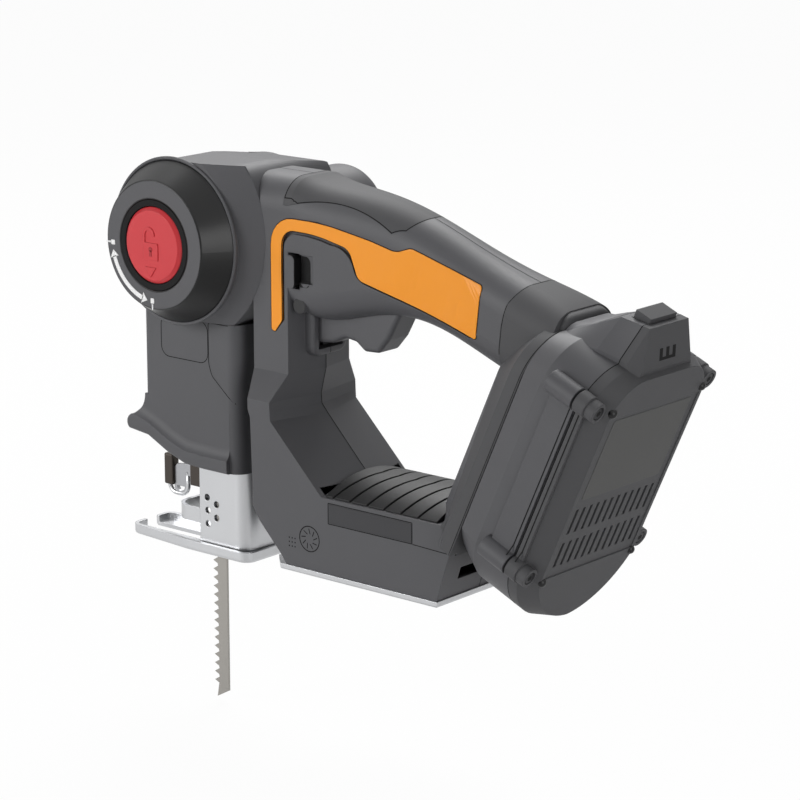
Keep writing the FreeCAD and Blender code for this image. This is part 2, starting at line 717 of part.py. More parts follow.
def make_plunger():
    """Reciprocating rod, its yoke and the keyless blade clamp."""
    rod_body = body("plunger_rod")
    low, top = S.clamp_top - 6, S.pivot_height - S.yoke_height / 2 + 2
    sk = sketch_in(rod_body)
    outline(sk, [(0, low), (S.rod_radius, low), (S.rod_radius, S.rod_neck_low - 1.5),
                 (S.rod_neck_radius, S.rod_neck_low), (S.rod_neck_radius, top), (0, top)])
    revolve(rod_body, sk)

    yoke = body("yoke")
    z0, z1 = S.pivot_height - S.yoke_height / 2, S.pivot_height + S.yoke_height / 2
    sk = sketch_in(yoke, "XZ_Plane")
    outline(sk, [(-S.yoke_reach, z0), (S.yoke_reach, z0), (S.yoke_reach, z1), (-S.yoke_reach, z1)])
    plate = pad(yoke, sk, S.yoke_half * 2, midplane=True)
    round_edges(yoke, plate, 3, lambda e: straight_along(e, (0, 1, 0)))
    slot = sketch_in(yoke, "XZ_Plane")
    reach, r = S.crank_radius + 0.5, S.crank_pin_radius + 0.3
    zp = S.pivot_height
    outline(slot, [(-reach, zp - r), (reach, zp - r, r), (reach, zp + r), (-reach, zp + r, r)])
    pocket(yoke, slot, S.yoke_half * 2 + 2, midplane=True)
    socket = sketch_in(yoke, "XY_Plane", z0)
    circle(socket, 0, 0, S.rod_neck_radius)
    pocket(yoke, socket, 2, back=True)

    clamp = body("blade_clamp")
    sk = sketch_in(clamp, "XY_Plane", S.clamp_bottom)
    circle(sk, 0, 0, S.clamp_radius)
    pad(clamp, sk, S.clamp_top - S.clamp_bottom)
    bore = sketch_in(clamp, "XY_Plane", S.clamp_top)
    circle(bore, 0, 0, S.rod_radius)
    pocket(clamp, bore, 6)
    slit = sketch_in(clamp, "XY_Plane", S.clamp_bottom)
    outline(slit, [(-3.6, -S.blade_half), (3.6, -S.blade_half), (3.6, S.blade_half), (-3.6, S.blade_half)])
    pocket(clamp, slit, 11, back=True)


def make_saw_blade():
    """T-shank blade: shank, body and a row of raked teeth."""
    blade = body("saw_blade")
    back, front = S.blade_back, S.blade_back - S.blade_width
    gullet = front + S.tooth_depth
    pitch = S.tooth_pitch
    first = 20.0
    points = [(3.5, S.clamp_bottom + 11), (-3.5, S.clamp_bottom + 11),
              (-3.5, S.clamp_bottom + 4), (-3, first + 16)]
    points.append((gullet, first + 8))
    count = int((first + S.blade_tip.number - 3) / pitch.number)
    for i in range(count):
        z = first - pitch * i
        points += [(gullet, z), (gullet + 0.25, z - pitch * 0.28), (front, z - pitch * 0.72)]
    points += [(gullet, first - pitch * count), (front + 1.5, -S.blade_tip), (back, 4 - S.blade_tip),
               (back, first + 10), (3.5, first + 16)]
    sk = sketch_in(blade, "XZ_Plane")
    outline(sk, points)
    pad(blade, sk, S.blade_half * 2, midplane=True)


def make_release_lever():
    """Bent plate and wire loop that opens the blade clamp."""
    lever = body("release_lever")
    inner = S.clamp_radius + 0.1
    low = S.lever_collar_low
    sk = sketch_in(lever, "XY_Plane", low)
    circle(sk, 0, 0, inner + 2)
    circle(sk, 0, 0, inner)
    pad(lever, sk, 6)
    front, shoulder, foot = -S.lever_reach, S.lever_shoulder, S.lever_low
    arm = sketch_in(lever, "XZ_Plane")
    outline(arm, [(-8.2, low), (-8.2, low + 6), (-12, low + 1), (-17, shoulder + 1.2), (front + 2, shoulder),
                  (front, shoulder - 2), (front, foot), (front + 8.5, foot), (front + 8.5, shoulder - 5),
                  (-15, shoulder - 4)])
    pad(lever, arm, S.sheet, midplane=True)
    loop = sketch_in(lever, "XZ_Plane")
    outline(loop, [(front, foot + 1), (front, foot, 4.25), (front + 8.5, foot), (front + 8.5, foot + 1),
                   (front + 6.7, foot + 1), (front + 6.7, foot, -2.45), (front + 1.8, foot),
                   (front + 1.8, foot + 1)])
    pad(lever, loop, S.sheet, midplane=True)


# ---------------------------------------------------------------- drive

def tooth_wire(teeth, module, slack, turn):
    """Closed outline of a spur gear with straight-sided involute-like teeth."""
    pitch_radius = teeth * module / 2
    root, tip = pitch_radius - 1.2 * module, pitch_radius + 0.9 * module
    base_angle = math.radians(20)
    points = []
    for i in range(int(teeth)):
        middle_angle = 2 * math.pi * i / teeth + turn
        half_pitch = (math.pi * module / 2 - slack) / 2
        for radius, sign in ((root, -1), (pitch_radius, -1), (tip, -1), (tip, 1), (pitch_radius, 1), (root, 1)):
            half = half_pitch - (radius - pitch_radius) * math.tan(base_angle)
            half = max(half, 0.15 * module)
            angle = middle_angle + sign * half / radius
            points.append(FreeCAD.Vector(radius * math.cos(angle), radius * math.sin(angle), 0))
    points.append(points[0])
    return Part.makePolygon(points)


def spur_gear(label, teeth, x, z, bore, turn):
    """Spur gear on a transverse axis, bored for its shaft."""
    gear = doc.addObject("Part::Feature", "Gear")
    blank = Part.Face(tooth_wire(float(teeth), float(S.gear_module), float(S.tooth_slack), turn))
    blank = blank.extrude(FreeCAD.Vector(0, 0, float(S.gear_width)))
    hole = Part.makeCylinder(float(bore), float(S.gear_width) + 2, FreeCAD.Vector(0, 0, -1))
    gear.Shape = blank.cut(hole)
    place(gear, x, S.gear_side, z, (1, 0, 0), -90)
    return node(gear, label)


def make_gears():
    """Motor pinion and crank gear, in mesh."""
    line = math.atan2(float(S.motor_rise), float(S.motor_x))
    pinion_half = math.pi / float(S.pinion_teeth)
    # In each gear's own plane, Y points down, so the line of centres is turned the other way.
    spur_gear("crank_gear", S.gear_teeth, 0, S.pivot_height, S.crank_shaft_radius, -line)
    spur_gear("pinion", S.pinion_teeth, S.motor_x, S.pivot_height + S.motor_rise, S.shaft_radius,
              -line + math.pi + pinion_half)


def make_crank_shaft():
    """Crank shaft with its disc, counterweight and pin; the pin ends just short of the yoke."""
    zp = S.pivot_height
    shaft = rod(0, zp, S.crank_shaft_radius, S.crank_disc_side, S.gear_side + S.gear_width)
    disc = rod(0, zp, S.crank_disc_radius, S.crank_disc_side, S.crank_disc_side + 4)
    pin = rod(S.crank_radius, zp, S.crank_pin_radius, S.yoke_half + 0.3, S.crank_disc_side + 1)
    weight = common(rod(0, zp, S.crank_disc_radius + 6, S.crank_disc_side + 1, S.crank_disc_side + 4),
                    box(-30, -6, 0, 20, zp - 9, zp + 9))
    node(fuse(shaft, disc, pin, weight), "crank_shaft")


def make_crank_bearing():
    bearing = across("crank_bearing", z=S.pivot_height)
    sk = sketch_in(bearing, "XY_Plane", -(S.web_side + 2.6))
    circle(sk, 0, 0, S.crank_bearing_radius)
    circle(sk, 0, 0, S.crank_shaft_radius + S.shaft_fit)
    pad(bearing, sk, 2.6)


def roof():
    """Room under the housing's top: level over the pivot, falling and rounding off to the right."""
    top, side = S.shoulder_top, S.gear_chamber_side
    end = side + 8
    sk = free_sketch("front", -70)
    outline(sk, [(-60, S.head_shoulder + 0.5), (end, S.head_shoulder + 0.5), (end, top - 22), (end, top - 16, 13),
                 (side - 4, top - 3.2), (0, top), (-60, top)])
    return prism(sk, 140, midplane=False)


def make_motor():
    """Short transverse motor: can with magnets, armature, commutator, fan and bearings."""
    x, z = S.motor_x, S.pivot_height + S.motor_rise
    start = -(S.gear_chamber_side + 0.6)
    end = start - S.motor_length
    turned("motor_can", [
        (S.crank_shaft_radius, start), (S.motor_radius, start), (S.motor_radius, end),
        (S.motor_radius - 5, end), (S.motor_radius - 5, start - 3), (S.crank_shaft_radius, start - 3),
    ], x, z)
    stack, stack_end = S.motor_radius - 5.5, start - 15
    armature = turned("armature", [
        (S.shaft_radius, start - 4), (stack, start - 4), (stack, stack_end), (S.shaft_radius, stack_end),
    ], x, z)
    slot = sketch_in(armature, "XY_Plane", stack_end - 0.5)
    outline(slot, [(stack - 5, -1.2), (stack + 1, -1.2), (stack + 1, 1.2), (stack - 5, 1.2)])
    groove = pocket(armature, slot, 13, back=True)
    ring_pattern(armature, [groove], "Z_Axis", 8)
    turned("motor_shaft", [
        (0, -S.gear_side), (S.shaft_radius, -S.gear_side), (S.shaft_radius, -(S.motor_cap_end - 2.6)),
        (0, -(S.motor_cap_end - 2.6)),
    ], x, z)
    turned("commutator", [
        (S.shaft_radius, stack_end - 0.2), (6, stack_end - 0.2), (6, stack_end - 3.2),
        (S.shaft_radius, stack_end - 3.2),
    ], x, z)
    for label, place_at in (("motor_bearing_front", start), ("motor_bearing_rear", -(S.motor_cap_end - 5.6))):
        turned(label, [
            (S.shaft_radius + S.shaft_fit, place_at), (S.crank_shaft_radius, place_at),
            (S.crank_shaft_radius, place_at - 3), (S.shaft_radius + S.shaft_fit, place_at - 3),
        ], x, z)


# ---------------------------------------------------------------- main housing

def gear_housing_outer():
    """Outer form of the transverse housing: round to the front, an arched edge to the rear."""
    zp = S.pivot_height
    r = S.cap_rim_radius
    rear = S.saddle_radius
    side = S.gear_chamber_side
    hub = rod(0, zp, r, S.turning_gap - S.cap_seat, 0)
    taper = doc.addObject("Part::Cone", "Taper")
    bind(taper, "Radius1", r)
    bind(taper, "Radius2", S.chamber_radius)
    bind(taper, "Height", side)
    place(taper, 0, 0, zp, (1, 0, 0), -90)
    arch = common(rod(S.saddle_x, zp + S.saddle_rise, rear, -S.column_half, side),
                  box(0, 60, -40, 40, S.head_shoulder + 0.5, S.shoulder_top))
    arch = soften(arch, 12, lambda e: straight_along(e, (0, 1, 0)) and middle(e).x > 20
                  and middle(e).z > zp.number)
    flare_cone = doc.addObject("Part::Cone", "Flare")
    bind(flare_cone, "Radius1", rear)
    bind(flare_cone, "Radius2", r + 1)
    bind(flare_cone, "Height", S.cap_seat - S.column_half)
    place(flare_cone, S.saddle_x, -S.column_half, zp + S.saddle_rise, (1, 0, 0), 90)
    flare = common(flare_cone, box(0, 60, -40, 0, S.head_shoulder + 0.5, S.shoulder_top))
    return common(fuse(hub, taper, arch, flare), roof())


def make_gear_housing():
    """Fixed housing round the knuckle, with the gear chamber on its right."""
    zp = S.pivot_height
    outer = gear_housing_outer()
    bore = rod(0, zp, S.knuckle_radius + S.knuckle_gap, -S.cap_seat - 1, S.web_side)
    low = zp - S.column_drop + 2
    mouth = fuse(box(-60, -3, -40, S.web_side, 0, zp + 52), box(-60, 12.5, -40, S.web_side, 0, low))
    chamber = fuse(rod(0, zp, S.gear_module * S.gear_teeth / 2 + 2, S.web_side + 2.6, S.gear_chamber_side + 1),
                   rod(S.motor_x, zp + S.motor_rise, 9, S.web_side + 2.6, S.gear_chamber_side + 1))
    way = rod(0, zp, S.crank_bearing_radius, 0, S.gear_chamber_side)
    node(cut(outer, bore, mouth, chamber, way), "gear_housing")
    return outer


def make_motor_cap():
    """Right-hand cap over motor and gear chamber, with a ring of vents in its round end."""
    x, z = S.motor_x, S.pivot_height + S.motor_rise
    side = S.gear_chamber_side
    lid = soften(rod(0, S.pivot_height, S.chamber_radius, side, side + 8), 5,
                 lambda e: abs(e.BoundBox.YMin - side.number - 8) < 0.01)
    plate = common(lid, box(-60, 60, 0, 60, S.head_shoulder + 0.5, S.shoulder_top))
    drum = soften(rod(x, z, S.motor_cap_radius, side, S.motor_cap_end), 8,
                  lambda e: abs(e.BoundBox.YMin - S.motor_cap_end.number) < 0.01)
    room = rod(x, z, S.motor_radius + 0.2, side - 1, side + S.motor_length + 1.2)
    back_room = rod(x, z, S.crank_shaft_radius, side + 5, S.motor_cap_end - 2.5)
    gear_room = rod(0, S.pivot_height, S.gear_module * S.gear_teeth / 2 + 2, side - 1, side + 3)
    vents = []
    count = 10
    for i in range(count):
        turn = 2 * math.pi * i / count
        px, pz = x + 13 * math.cos(turn), z + 13 * math.sin(turn)
        vents.append(rod(px, pz, 2.0, side + 15, S.motor_cap_end + 1))
    node(cut(fuse(plate, drum), room, back_room, gear_room, *vents), "motor_cap")


def housing_stations():
    """Handle sections behind the front block: distance back, top, underside, half width."""
    w = S.handle_half
    return [(S.handle_front, S.handle_top, S.handle_under, S.column_half), (90, 177.0, 121.6, w + 2.2),
            (117, 172.4, 125.4, w), (148, 161.6, 119.4, w), (176, 151.6, 109.8, w + 2), (206, 141.6, 98.6, w + 6)]


def rounded_section(sk, low, high, half, corner):
    """A rounded rectangle across the handle."""
    c = corner
    outline(sk, [(c - half, low), (half - c, low, c), (half, low + c), (half, high - c, c),
                 (half - c, high), (c - half, high, c), (-half, high - c), (-half, low + c, c)])


def handle_loft(wall):
    """The handle's tube with its straight front block, or its inside when a wall is given."""
    front = free_sketch("front", 38 + wall)
    corner = 14
    rounded_section(front, S.handle_under + wall, S.handle_top - wall, S.column_half - wall, corner - wall)
    block = prism(front, S.handle_front - 38 - wall, midplane=False)
    rings = []
    for x, top, under, wide in housing_stations():
        ring = free_sketch("front", x)
        rounded_section(ring, under + wall, top - wall, wide - wall, corner - wall)
        rings.append(ring)
    made = doc.addObject("Part::Loft", "Handle")
    made.Sections = rings
    made.Solid = True
    made.Ruled = False
    return fuse(block, made)


def plan_section(z, front, rear, ridge, half):
    """Five-sided section of the column, pointed to the rear."""
    sk = free_sketch("plan", z)
    outline(sk, [(front, -half), (rear, -half), (rear + ridge, 0), (rear, half), (front, half)])
    return sk


def column_loft(wall):
    """Front column: upright at the handle, widening to the base and running out along its deck."""
    upper = plan_section(S.shoulder_high, S.column_front + wall, S.column_rear - wall, S.column_ridge,
                         S.column_half - wall)
    upright = prism(upper, 160 - S.shoulder_high, midplane=False)
    half = S.base_half
    stations = [(S.base_deck, 46, 86.9, 7.2, half), (74.4, 45, 57.0, 8.2, half), (78.0, 43.6, 56.8, 5.2, half),
                (S.shoulder_low, 43.6, 56.6, 5.0, half),
                (S.shoulder_high, S.column_front, S.column_rear, S.column_ridge, S.column_half)]
    rings = [plan_section(z, front + wall, rear - wall, ridge, wide - wall)
             for z, front, rear, ridge, wide in stations]
    leg = doc.addObject("Part::Loft", "Leg")
    leg.Sections = rings
    leg.Solid = True
    leg.Ruled = True
    return fuse(upright, leg)


def base_profile():
    """Side view of the base below its deck, with the plate that rises to the dock."""
    deck, floor = S.base_deck, S.base_floor
    return [(46, deck), (46, 34), (50.2, 27.7), (62.3, 15.4), (66, floor), (S.base_rear, floor),
            (S.base_rear + 7, 33), (S.base_rear + 19.5, 34), (S.base_rear + 22.5, 43.5),
            (S.base_rear + 14.5, 59.5),
            (S.base_rear + 2, deck)]


def leaning(thing, v=0, y=0, u=0, turn=None):
    """Places an object in the pack's tilted frame: v out from the dock, u up along the pack."""
    lean = FreeCAD.Rotation(FreeCAD.Vector(0, 1, 0), S.tilt.number)
    shift = lean.multVec(FreeCAD.Vector(float(v), float(y), float(u)))
    thing.Placement = FreeCAD.Placement(shift, lean.multiply(turn) if turn else lean)
    v, y, u = [value if isinstance(value, Size) else Size(value, repr(float(value))) for value in (v, y, u)]
    thing.setExpression("Placement.Base.x", f"{v.text} * cos(Sizes.tilt) + {u.text} * sin(Sizes.tilt)")
    thing.setExpression("Placement.Base.y", y.text)
    thing.setExpression("Placement.Base.z", f"{u.text} * cos(Sizes.tilt) - {v.text} * sin(Sizes.tilt)")
    return thing


def leaning_box(v0, v1, y0, y1, u0, u1):
    made = doc.addObject("Part::Box", "Box")
    bind(made, "Length", v1 - v0)
    bind(made, "Width", y1 - y0)
    bind(made, "Height", u1 - u0)
    return leaning(made, v0, y0, u0)


def leaning_rod(y, u, radius, v0, v1):
    """A cylinder along the dock's depth."""
    made = doc.addObject("Part::Cylinder", "Rod")
    bind(made, "Radius", radius)
    bind(made, "Height", v1 - v0)
    return leaning(made, v0, y, u, FreeCAD.Rotation(FreeCAD.Vector(0, 1, 0), 90))


def leaning_cross_rod(v, u, radius, half):
    """A cylinder across the pack."""
    made = doc.addObject("Part::Cylinder", "Rod")
    bind(made, "Radius", radius)
    bind(made, "Height", half * 2)
    return leaning(made, v, -half, u, FreeCAD.Rotation(FreeCAD.Vector(1, 0, 0), -90))


ACROSS = FreeCAD.Rotation(FreeCAD.Vector(1, 1, 1), 120)


def arch(v, half, low, high, corner, foot=0, foot_radius=0):
    """Arched outline square to the dock's depth. A foot makes the lower end round as well."""
    sk = doc.addObject("Sketcher::SketchObject", "Outline")
    if foot:
        outline(sk, [(0, low - foot, foot_radius), (half, low),
                     (half, high - corner, corner), (half - corner, high),
                     (corner - half, high, corner), (-half, high - corner), (-half, low, foot_radius)])
    else:
        outline(sk, [(-half, low), (half, low), (half, high - corner, corner), (half - corner, high),
                     (corner - half, high, corner), (-half, high - corner)])
    return leaning(sk, v, 0, 0, ACROSS)


def dock_loft(wall):
    """Rear wing of the housing: from the strut behind the hand gap out to the pack's width."""
    wide = S.dock_half
    near = arch(112.5 + wall, 15 - wall, 93 + wall, 185, 12)
    far = arch(S.dock_face - S.dock_flange, wide - 0.5 - wall, 98 + wall, 206 - wall, 20)
    edge = arch(S.dock_face - S.pack_gap - wall, wide - wall, 98 + wall, 208 - wall, 20)
    made = doc.addObject("Part::Loft", "Dock")
    made.Sections = [near, far, edge]
    made.Solid = True
    made.Ruled = True
    return made


def behind_dock(v):
    """Everything behind a depth in the dock, above the pack's lowest point."""
    return leaning_box(v, v + 80, -60, 60, S.pack_low - 2, 280)


def housing_outer(wall):
    """The whole outer form, or its inside when a wall is given."""
    base = side_prism(base_profile(), S.base_half)
    if wall:
        base = inset_prism(base, S.base_half, wall)
        half = S.base_half - wall
        seam = box(46 + wall, 86.9, -half, half, S.base_deck - wall - 1, S.base_deck + wall + 1)
        base = fuse(base, seam)
    solid = fuse(base, column_loft(wall), handle_loft(wall), dock_loft(wall))
    return cut(solid, behind_dock(S.dock_face - S.pack_gap - wall))


def inlay_outline():
    rear = S.column_rear - 2
    return [(50.5, 114), (50.5, 150, -14), (64.5, 164.5), (78, 164.5, 60), (119.5, 155, -9), (126, 158),
            (162, 148.6, 3.5), (165.3, 144.8), (162.8, 126.5, 3.5), (158.6, 124.3),
            (102, 139.8, -9), (96, 145.5, 12),
            (84, 155, 60), (66, 157.6, 7), (rear, 150.5), (rear, 119), (53.5, 113.4, 2)]


def make_skins(outer):
    """Inlays and grip insert: patches of the housing's own skin, let into it."""
    under = housing_outer(S.inlay_thick)
    skin = cut(outer, under, gear_housing_outer())
    inlay = side_prism(inlay_outline(), 40)
    left = common(common(skin, inlay), box(0, 250, -60, -9, 0, 220))
    right = common(common(skin, inlay), box(0, 250, 9, 60, 0, 220))
    grip_view = side_prism([(58, 170), (60, 169.6, -70), (115.5, 163.4, -12), (122, 165, -30), (133, 173),
                            (133, 200), (58, 200)], 40)
    grip = common(skin, grip_view)
    return node(left, "inlay_left"), node(right, "inlay_right"), node(grip, "soft_grip")


def screw_places():
    """Housing screws: distance back, height and how far the boss reaches to either side."""
    column, base, handle = S.column_half - 1.2, S.base_half - 1.2, S.handle_half - 1.2
    return [(52, 104, column), (54, 62, base), (74, 22, base), (142, 22, base), (128, 149, handle),
            (172, 132, handle + 2)]


def make_housing(gear_outer):
    """Two clamshells and the rear overmould: column, handle, base and battery dock."""
    outer = fuse(housing_outer(0), trigger_shroud())
    skins = make_skins(housing_outer(0))
    room = housing_outer(S.wall)
    bosses = [rod(x, z, 3.6, -half, half) for x, z, half in screw_places()]
    holes = [rod(x, z, 1.5, -8, 40) for x, z, half in screw_places()]
    sinks = [rod(x, z, 3.0, S.screw_seat, 40) for x, z, half in screw_places()]
    ribs = [box(x, x + 2, side * 11.75 - 3.25, side * 11.75 + 3.25, 147, 155)
            for x in (80, 100) for side in (-1, 1)]
    reach = S.column_half - 1.2
    bosses += [rod(S.trigger_pin_x, S.trigger_pin_z, 3.4, y0, y1) for y0, y1 in ((-reach, -8.4), (8.4, reach))]
    pin_way = rod(S.trigger_pin_x, S.trigger_pin_z, S.trigger_pin_radius + S.shaft_fit, -12, 12)
    key_slot = box(S.base_rear - 3, S.base_rear + 12, -18, 18, 19, 24.5)
    shell = cut(fuse(cut(outer, room), *bosses, *ribs), gear_outer, trigger_slot(), lock_off_slot(), *skins,
                *holes, *sinks, pin_way, key_slot)
    rear = side_prism([(190.6, 158), (184.3, 149.9), (179.5, 142.3), (177.1, 133), (174.8, 113.6), (158, 59.5),
                       (S.base_rear + 2, 45.5), (S.base_rear + 7, 32.6), (250, 20), (250, 200), (200, 200)], 45)
    node(common(shell, rear), "dock_overmould")
    front = cut(shell, rear)
    node(common(front, box(-60, 300, -60, 0, -20, 260)), "housing_left")
    node(common(front, box(-60, 300, 0, 60, -20, 260)), "housing_right")
    head = S.screw_seat + S.turning_gap
    screws = [fuse(rod(x, z, 1.4, -7.5, head), rod(x, z, 2.8, head, head + 2.3)) for x, z, half in screw_places()]
    node(fuse(*screws), "housing_screws")


def trigger_shroud():
    """Raised collar on the column's rear face, round the front of the trigger."""
    half, low, corner = 11.4, 101.4, 5.0
    sk = free_sketch("front", S.column_rear - 4)
    outline(sk, [(corner - half, low), (half - corner, low, corner), (half, low + corner),
                 (half, 126), (-half, 126),
                 (-half, low + corner, corner)])
    collar = prism(sk, 11, midplane=False)
    return soften(collar, 1.6, lambda e: middle(e).x > S.column_rear.number + 6.9)


def trigger_slot():
    return box(62, 117, -8, 8, 104.6, 137)


def lock_off_slot():
    """Slot for the lock-off button, with the shallow recess behind it."""
    side = S.column_half
    return fuse(box(60.9, 67.3, -30, -10, 133.6, 149.4), box(66, 74.5, -30, 1.6 - side, 136.4, 149))


def make_base_plate():
    """Metal wear plate under the base, with cut-off front corners."""
    plate = body("base_plate")
    half, rear = S.base_half + S.plate_proud, S.base_rear + S.plate_proud
    front, corner = 54, 9
    sk = sketch_in(plate, "XY_Plane", S.base_floor - S.plate_thick)
    outline(sk, [(front, corner - half), (front + corner, -half), (rear, -half), (rear, half),
                 (front + corner, half),
                 (front, half - corner)])
    slab = pad(plate, sk, S.plate_thick)
    round_edges(plate, slab, 1.0, lambda e: abs(e.BoundBox.ZMax - 8.0) < 0.01)


def make_rear_pad():
    """Ribbed rubber pad on the base: a crowned block with chevron grooves."""
    half, low, high = S.base_half - 1.6, S.base_deck, S.pad_crown
    front, length = 88.4, 62.6
    section = free_sketch("front", front)
    outline(section, [(-half, low), (half, low), (half, low + 0.8, 60), (-half, low + 0.8)])
    crown = prism(section, length, midplane=False)
    lower = free_sketch("front", 80)
    outline(lower, [(-half - 1, low - 1), (half + 1, low - 1), (half + 1, low - 0.6, 60), (-half - 1, low - 0.6)])
    core = prism(lower, 76, midplane=False)
    grooves = []
    for i in range(6):
        x = 97 + 9.6 * i
        vee = free_sketch("plan", low - 2)
        outline(vee, [(x, 0), (x - 5, -half - 1), (x - 3.6, -half - 1),
                      (x + 1.4, 0), (x - 3.6, half + 1), (x - 5, half + 1)])
        grooves.append(prism(vee, 20, midplane=False))
    slope = leg_clearance()
    node(cut(crown, cut(fuse(*grooves), core), dock_loft(0), slope), "rear_pad")


def leg_clearance():
    """The column's foot with a small gap, cut away from the pad."""
    gap, half = S.turning_gap, S.base_half
    foot = plan_section(S.base_deck - 1, 60, 86.9 + 1 + gap, 7.2, half + 1)
    high = plan_section(74.4, 50, 57.0 + gap, 8.2, half + 1)
    made = doc.addObject("Part::Loft", "Foot")
    made.Sections = [foot, high]
    made.Solid = True
    made.Ruled = True
    return made


def make_controls():
    """Trigger, lock-off button, switch, springs and control board."""
    px, pz = S.trigger_pin_x, S.trigger_pin_z
    trigger = body("trigger")
    sk = sketch_in(trigger, "XZ_Plane")
    outline(sk, [(px - 3, pz + 2.4), (64.2, 107.4), (74.8, 108.4), (82, 111.6), (88, 110.8), (93, 107.2),
                 (101, 107.6), (107, 114.5), (113.5, 126.4), (113.5, pz + 2.4)])
    made = pad(trigger, sk, 15, midplane=True)
    made = round_edges(trigger, made, 3, lambda e: straight_along(e, (0, 1, 0)) and middle(e).z < 117)
    round_edges(trigger, made, 2.2, lambda e: not straight_along(e, (0, 1, 0)) and middle(e).z < 120
                and abs(middle(e).y) > 7)
    node(rod(px, pz, S.trigger_pin_radius, -11.5, 11.5), "trigger_pin")
    bore = sketch_in(trigger, "XZ_Plane")
    circle(bore, px, pz, S.trigger_pin_radius + S.shaft_fit)
    pocket(trigger, bore, 20, midplane=True)

    button = body("lock_off_button")
    sk = sketch_in(button, "XZ_Plane", S.column_half - 6)
    outline(sk, [(61.2, 136.8), (61.2, 146.2, -2.7), (66.6, 146.2), (66.6, 136.8, -2.7)])
    pad(button, sk, 8.6)

    switch = box(74, 108, -8.5, 8.5, 134, 158)
    node(switch, "switch_module")
    spring = cut(post(92, 0, 3.4, 128.4, 133.7), post(92, 0, 2.4, 128, 134))
    node(spring, "trigger_spring")
    floor = S.base_floor + S.wall
    board = box(74, 138, -20, 20, floor + 3, floor + 4.6)
    chips = [box(80 + 14 * i, 90 + 14 * i, -6, 6, floor + 4.6, floor + 8) for i in range(4)]
    feet = [post(x, y, 2, floor, floor + 3) for x in (78, 134) for y in (-16, 16)]
    node(fuse(board, *chips, *feet), "control_board")


# ---------------------------------------------------------------- battery pack

def make_dock_rail():
    """T-shaped tongue that the pack slides on, with three contact blades."""
    step = S.dock_face + 4.6
    half = S.rail_half
    neck = leaning_box(S.dock_face - S.pack_gap, step, 4 - half, half - 4, S.rail_low, S.rail_high)
    head = leaning_box(step, S.dock_face + S.rail_depth, -half, half, S.rail_low, S.rail_high)
    node(fuse(neck, head), "dock_rail")
    blades = [leaning_box(S.dock_face + S.rail_depth, S.dock_face + S.rail_depth + 2.6, y - 0.4, y + 0.4,
                          S.rail_low + 4, S.rail_low + 16) for y in (-14, 0, 14)]
    node(fuse(*blades), "dock_contacts")


def pack_arch(v, half, low, high):
    """The pack's arched section at a depth."""
    foot = S.pack_side_low - low
    corner = S.pack_corner - (S.pack_half - half) / 2
    return arch(v, half, S.pack_side_low, high, corner, foot, S.pack_foot_radius)


def pack_loft(*sections):
    made = doc.addObject("Part::Loft", "Pack")
    made.Sections = list(sections)
    made.Solid = True
    made.Ruled = True
    return made


def hump_section(v, foot, half, root, top):
    """Section of the latch housing: broad at its foot, narrow at its top."""
    sk = doc.addObject("Sketcher::SketchObject", "Outline")
    base = S.pack_high - 14
    outline(sk, [(-foot, base), (foot, base), (foot, root), (half, top), (-half, top), (-foot, root)])
    return leaning(sk, v, 0, 0, ACROSS)


def hump(part):
    """The latch housing on top of the pack, front or rear of the joint between the cases."""
    face, split = S.dock_face, S.pack_split
    middle_section = (S.hump_half, 13.5, S.pack_high + 2.0, S.hump_high - 0.6)
    if part == "front":
        rings = [hump_section(face + 1.5, 24, 16, S.pack_high - 6.5, S.pack_high - 3.0),
                 hump_section(155.8, 22, 13.5, S.pack_high + 1, S.hump_high - 3),
                 hump_section(split, *middle_section)]
    else:
        rings = [hump_section(split, *middle_section),
                 hump_section(170.0, 20, 13.5, S.pack_high + 1.5, S.hump_high),
                 hump_section(176.4, 20, 17, S.pack_high - 4, S.pack_high + 1.0)]
    return pack_loft(*rings)


def pack_bolts():
    """Sideways and upward places of the four bolts that hold the pack together."""
    return [(side * (S.pack_half + 0.6), up) for side in (-1, 1) for up in (117.0, 199.0)]


def side_panels(v0, v1, low, high):
    """Raised flat panels on the pack's two sides."""
    out = S.pack_half + S.panel_proud
    return [leaning_box(v0, v1, y0, y1, low, high) for y0, y1 in ((-out, 3 - out), (out - 3, out))]


def cell_room():
    """Hollow that the cells lie in, across the joint of the cases."""
    split, half = S.pack_split, S.cell_length / 2 + 0.3
    top = S.cells_low + S.cell_pitch * 4 + S.cell_radius * 2
    return leaning_box(split - S.cell_radius * 2 + 1.2, split + 2, -half, half, S.cells_low - 0.2, top + 0.2)


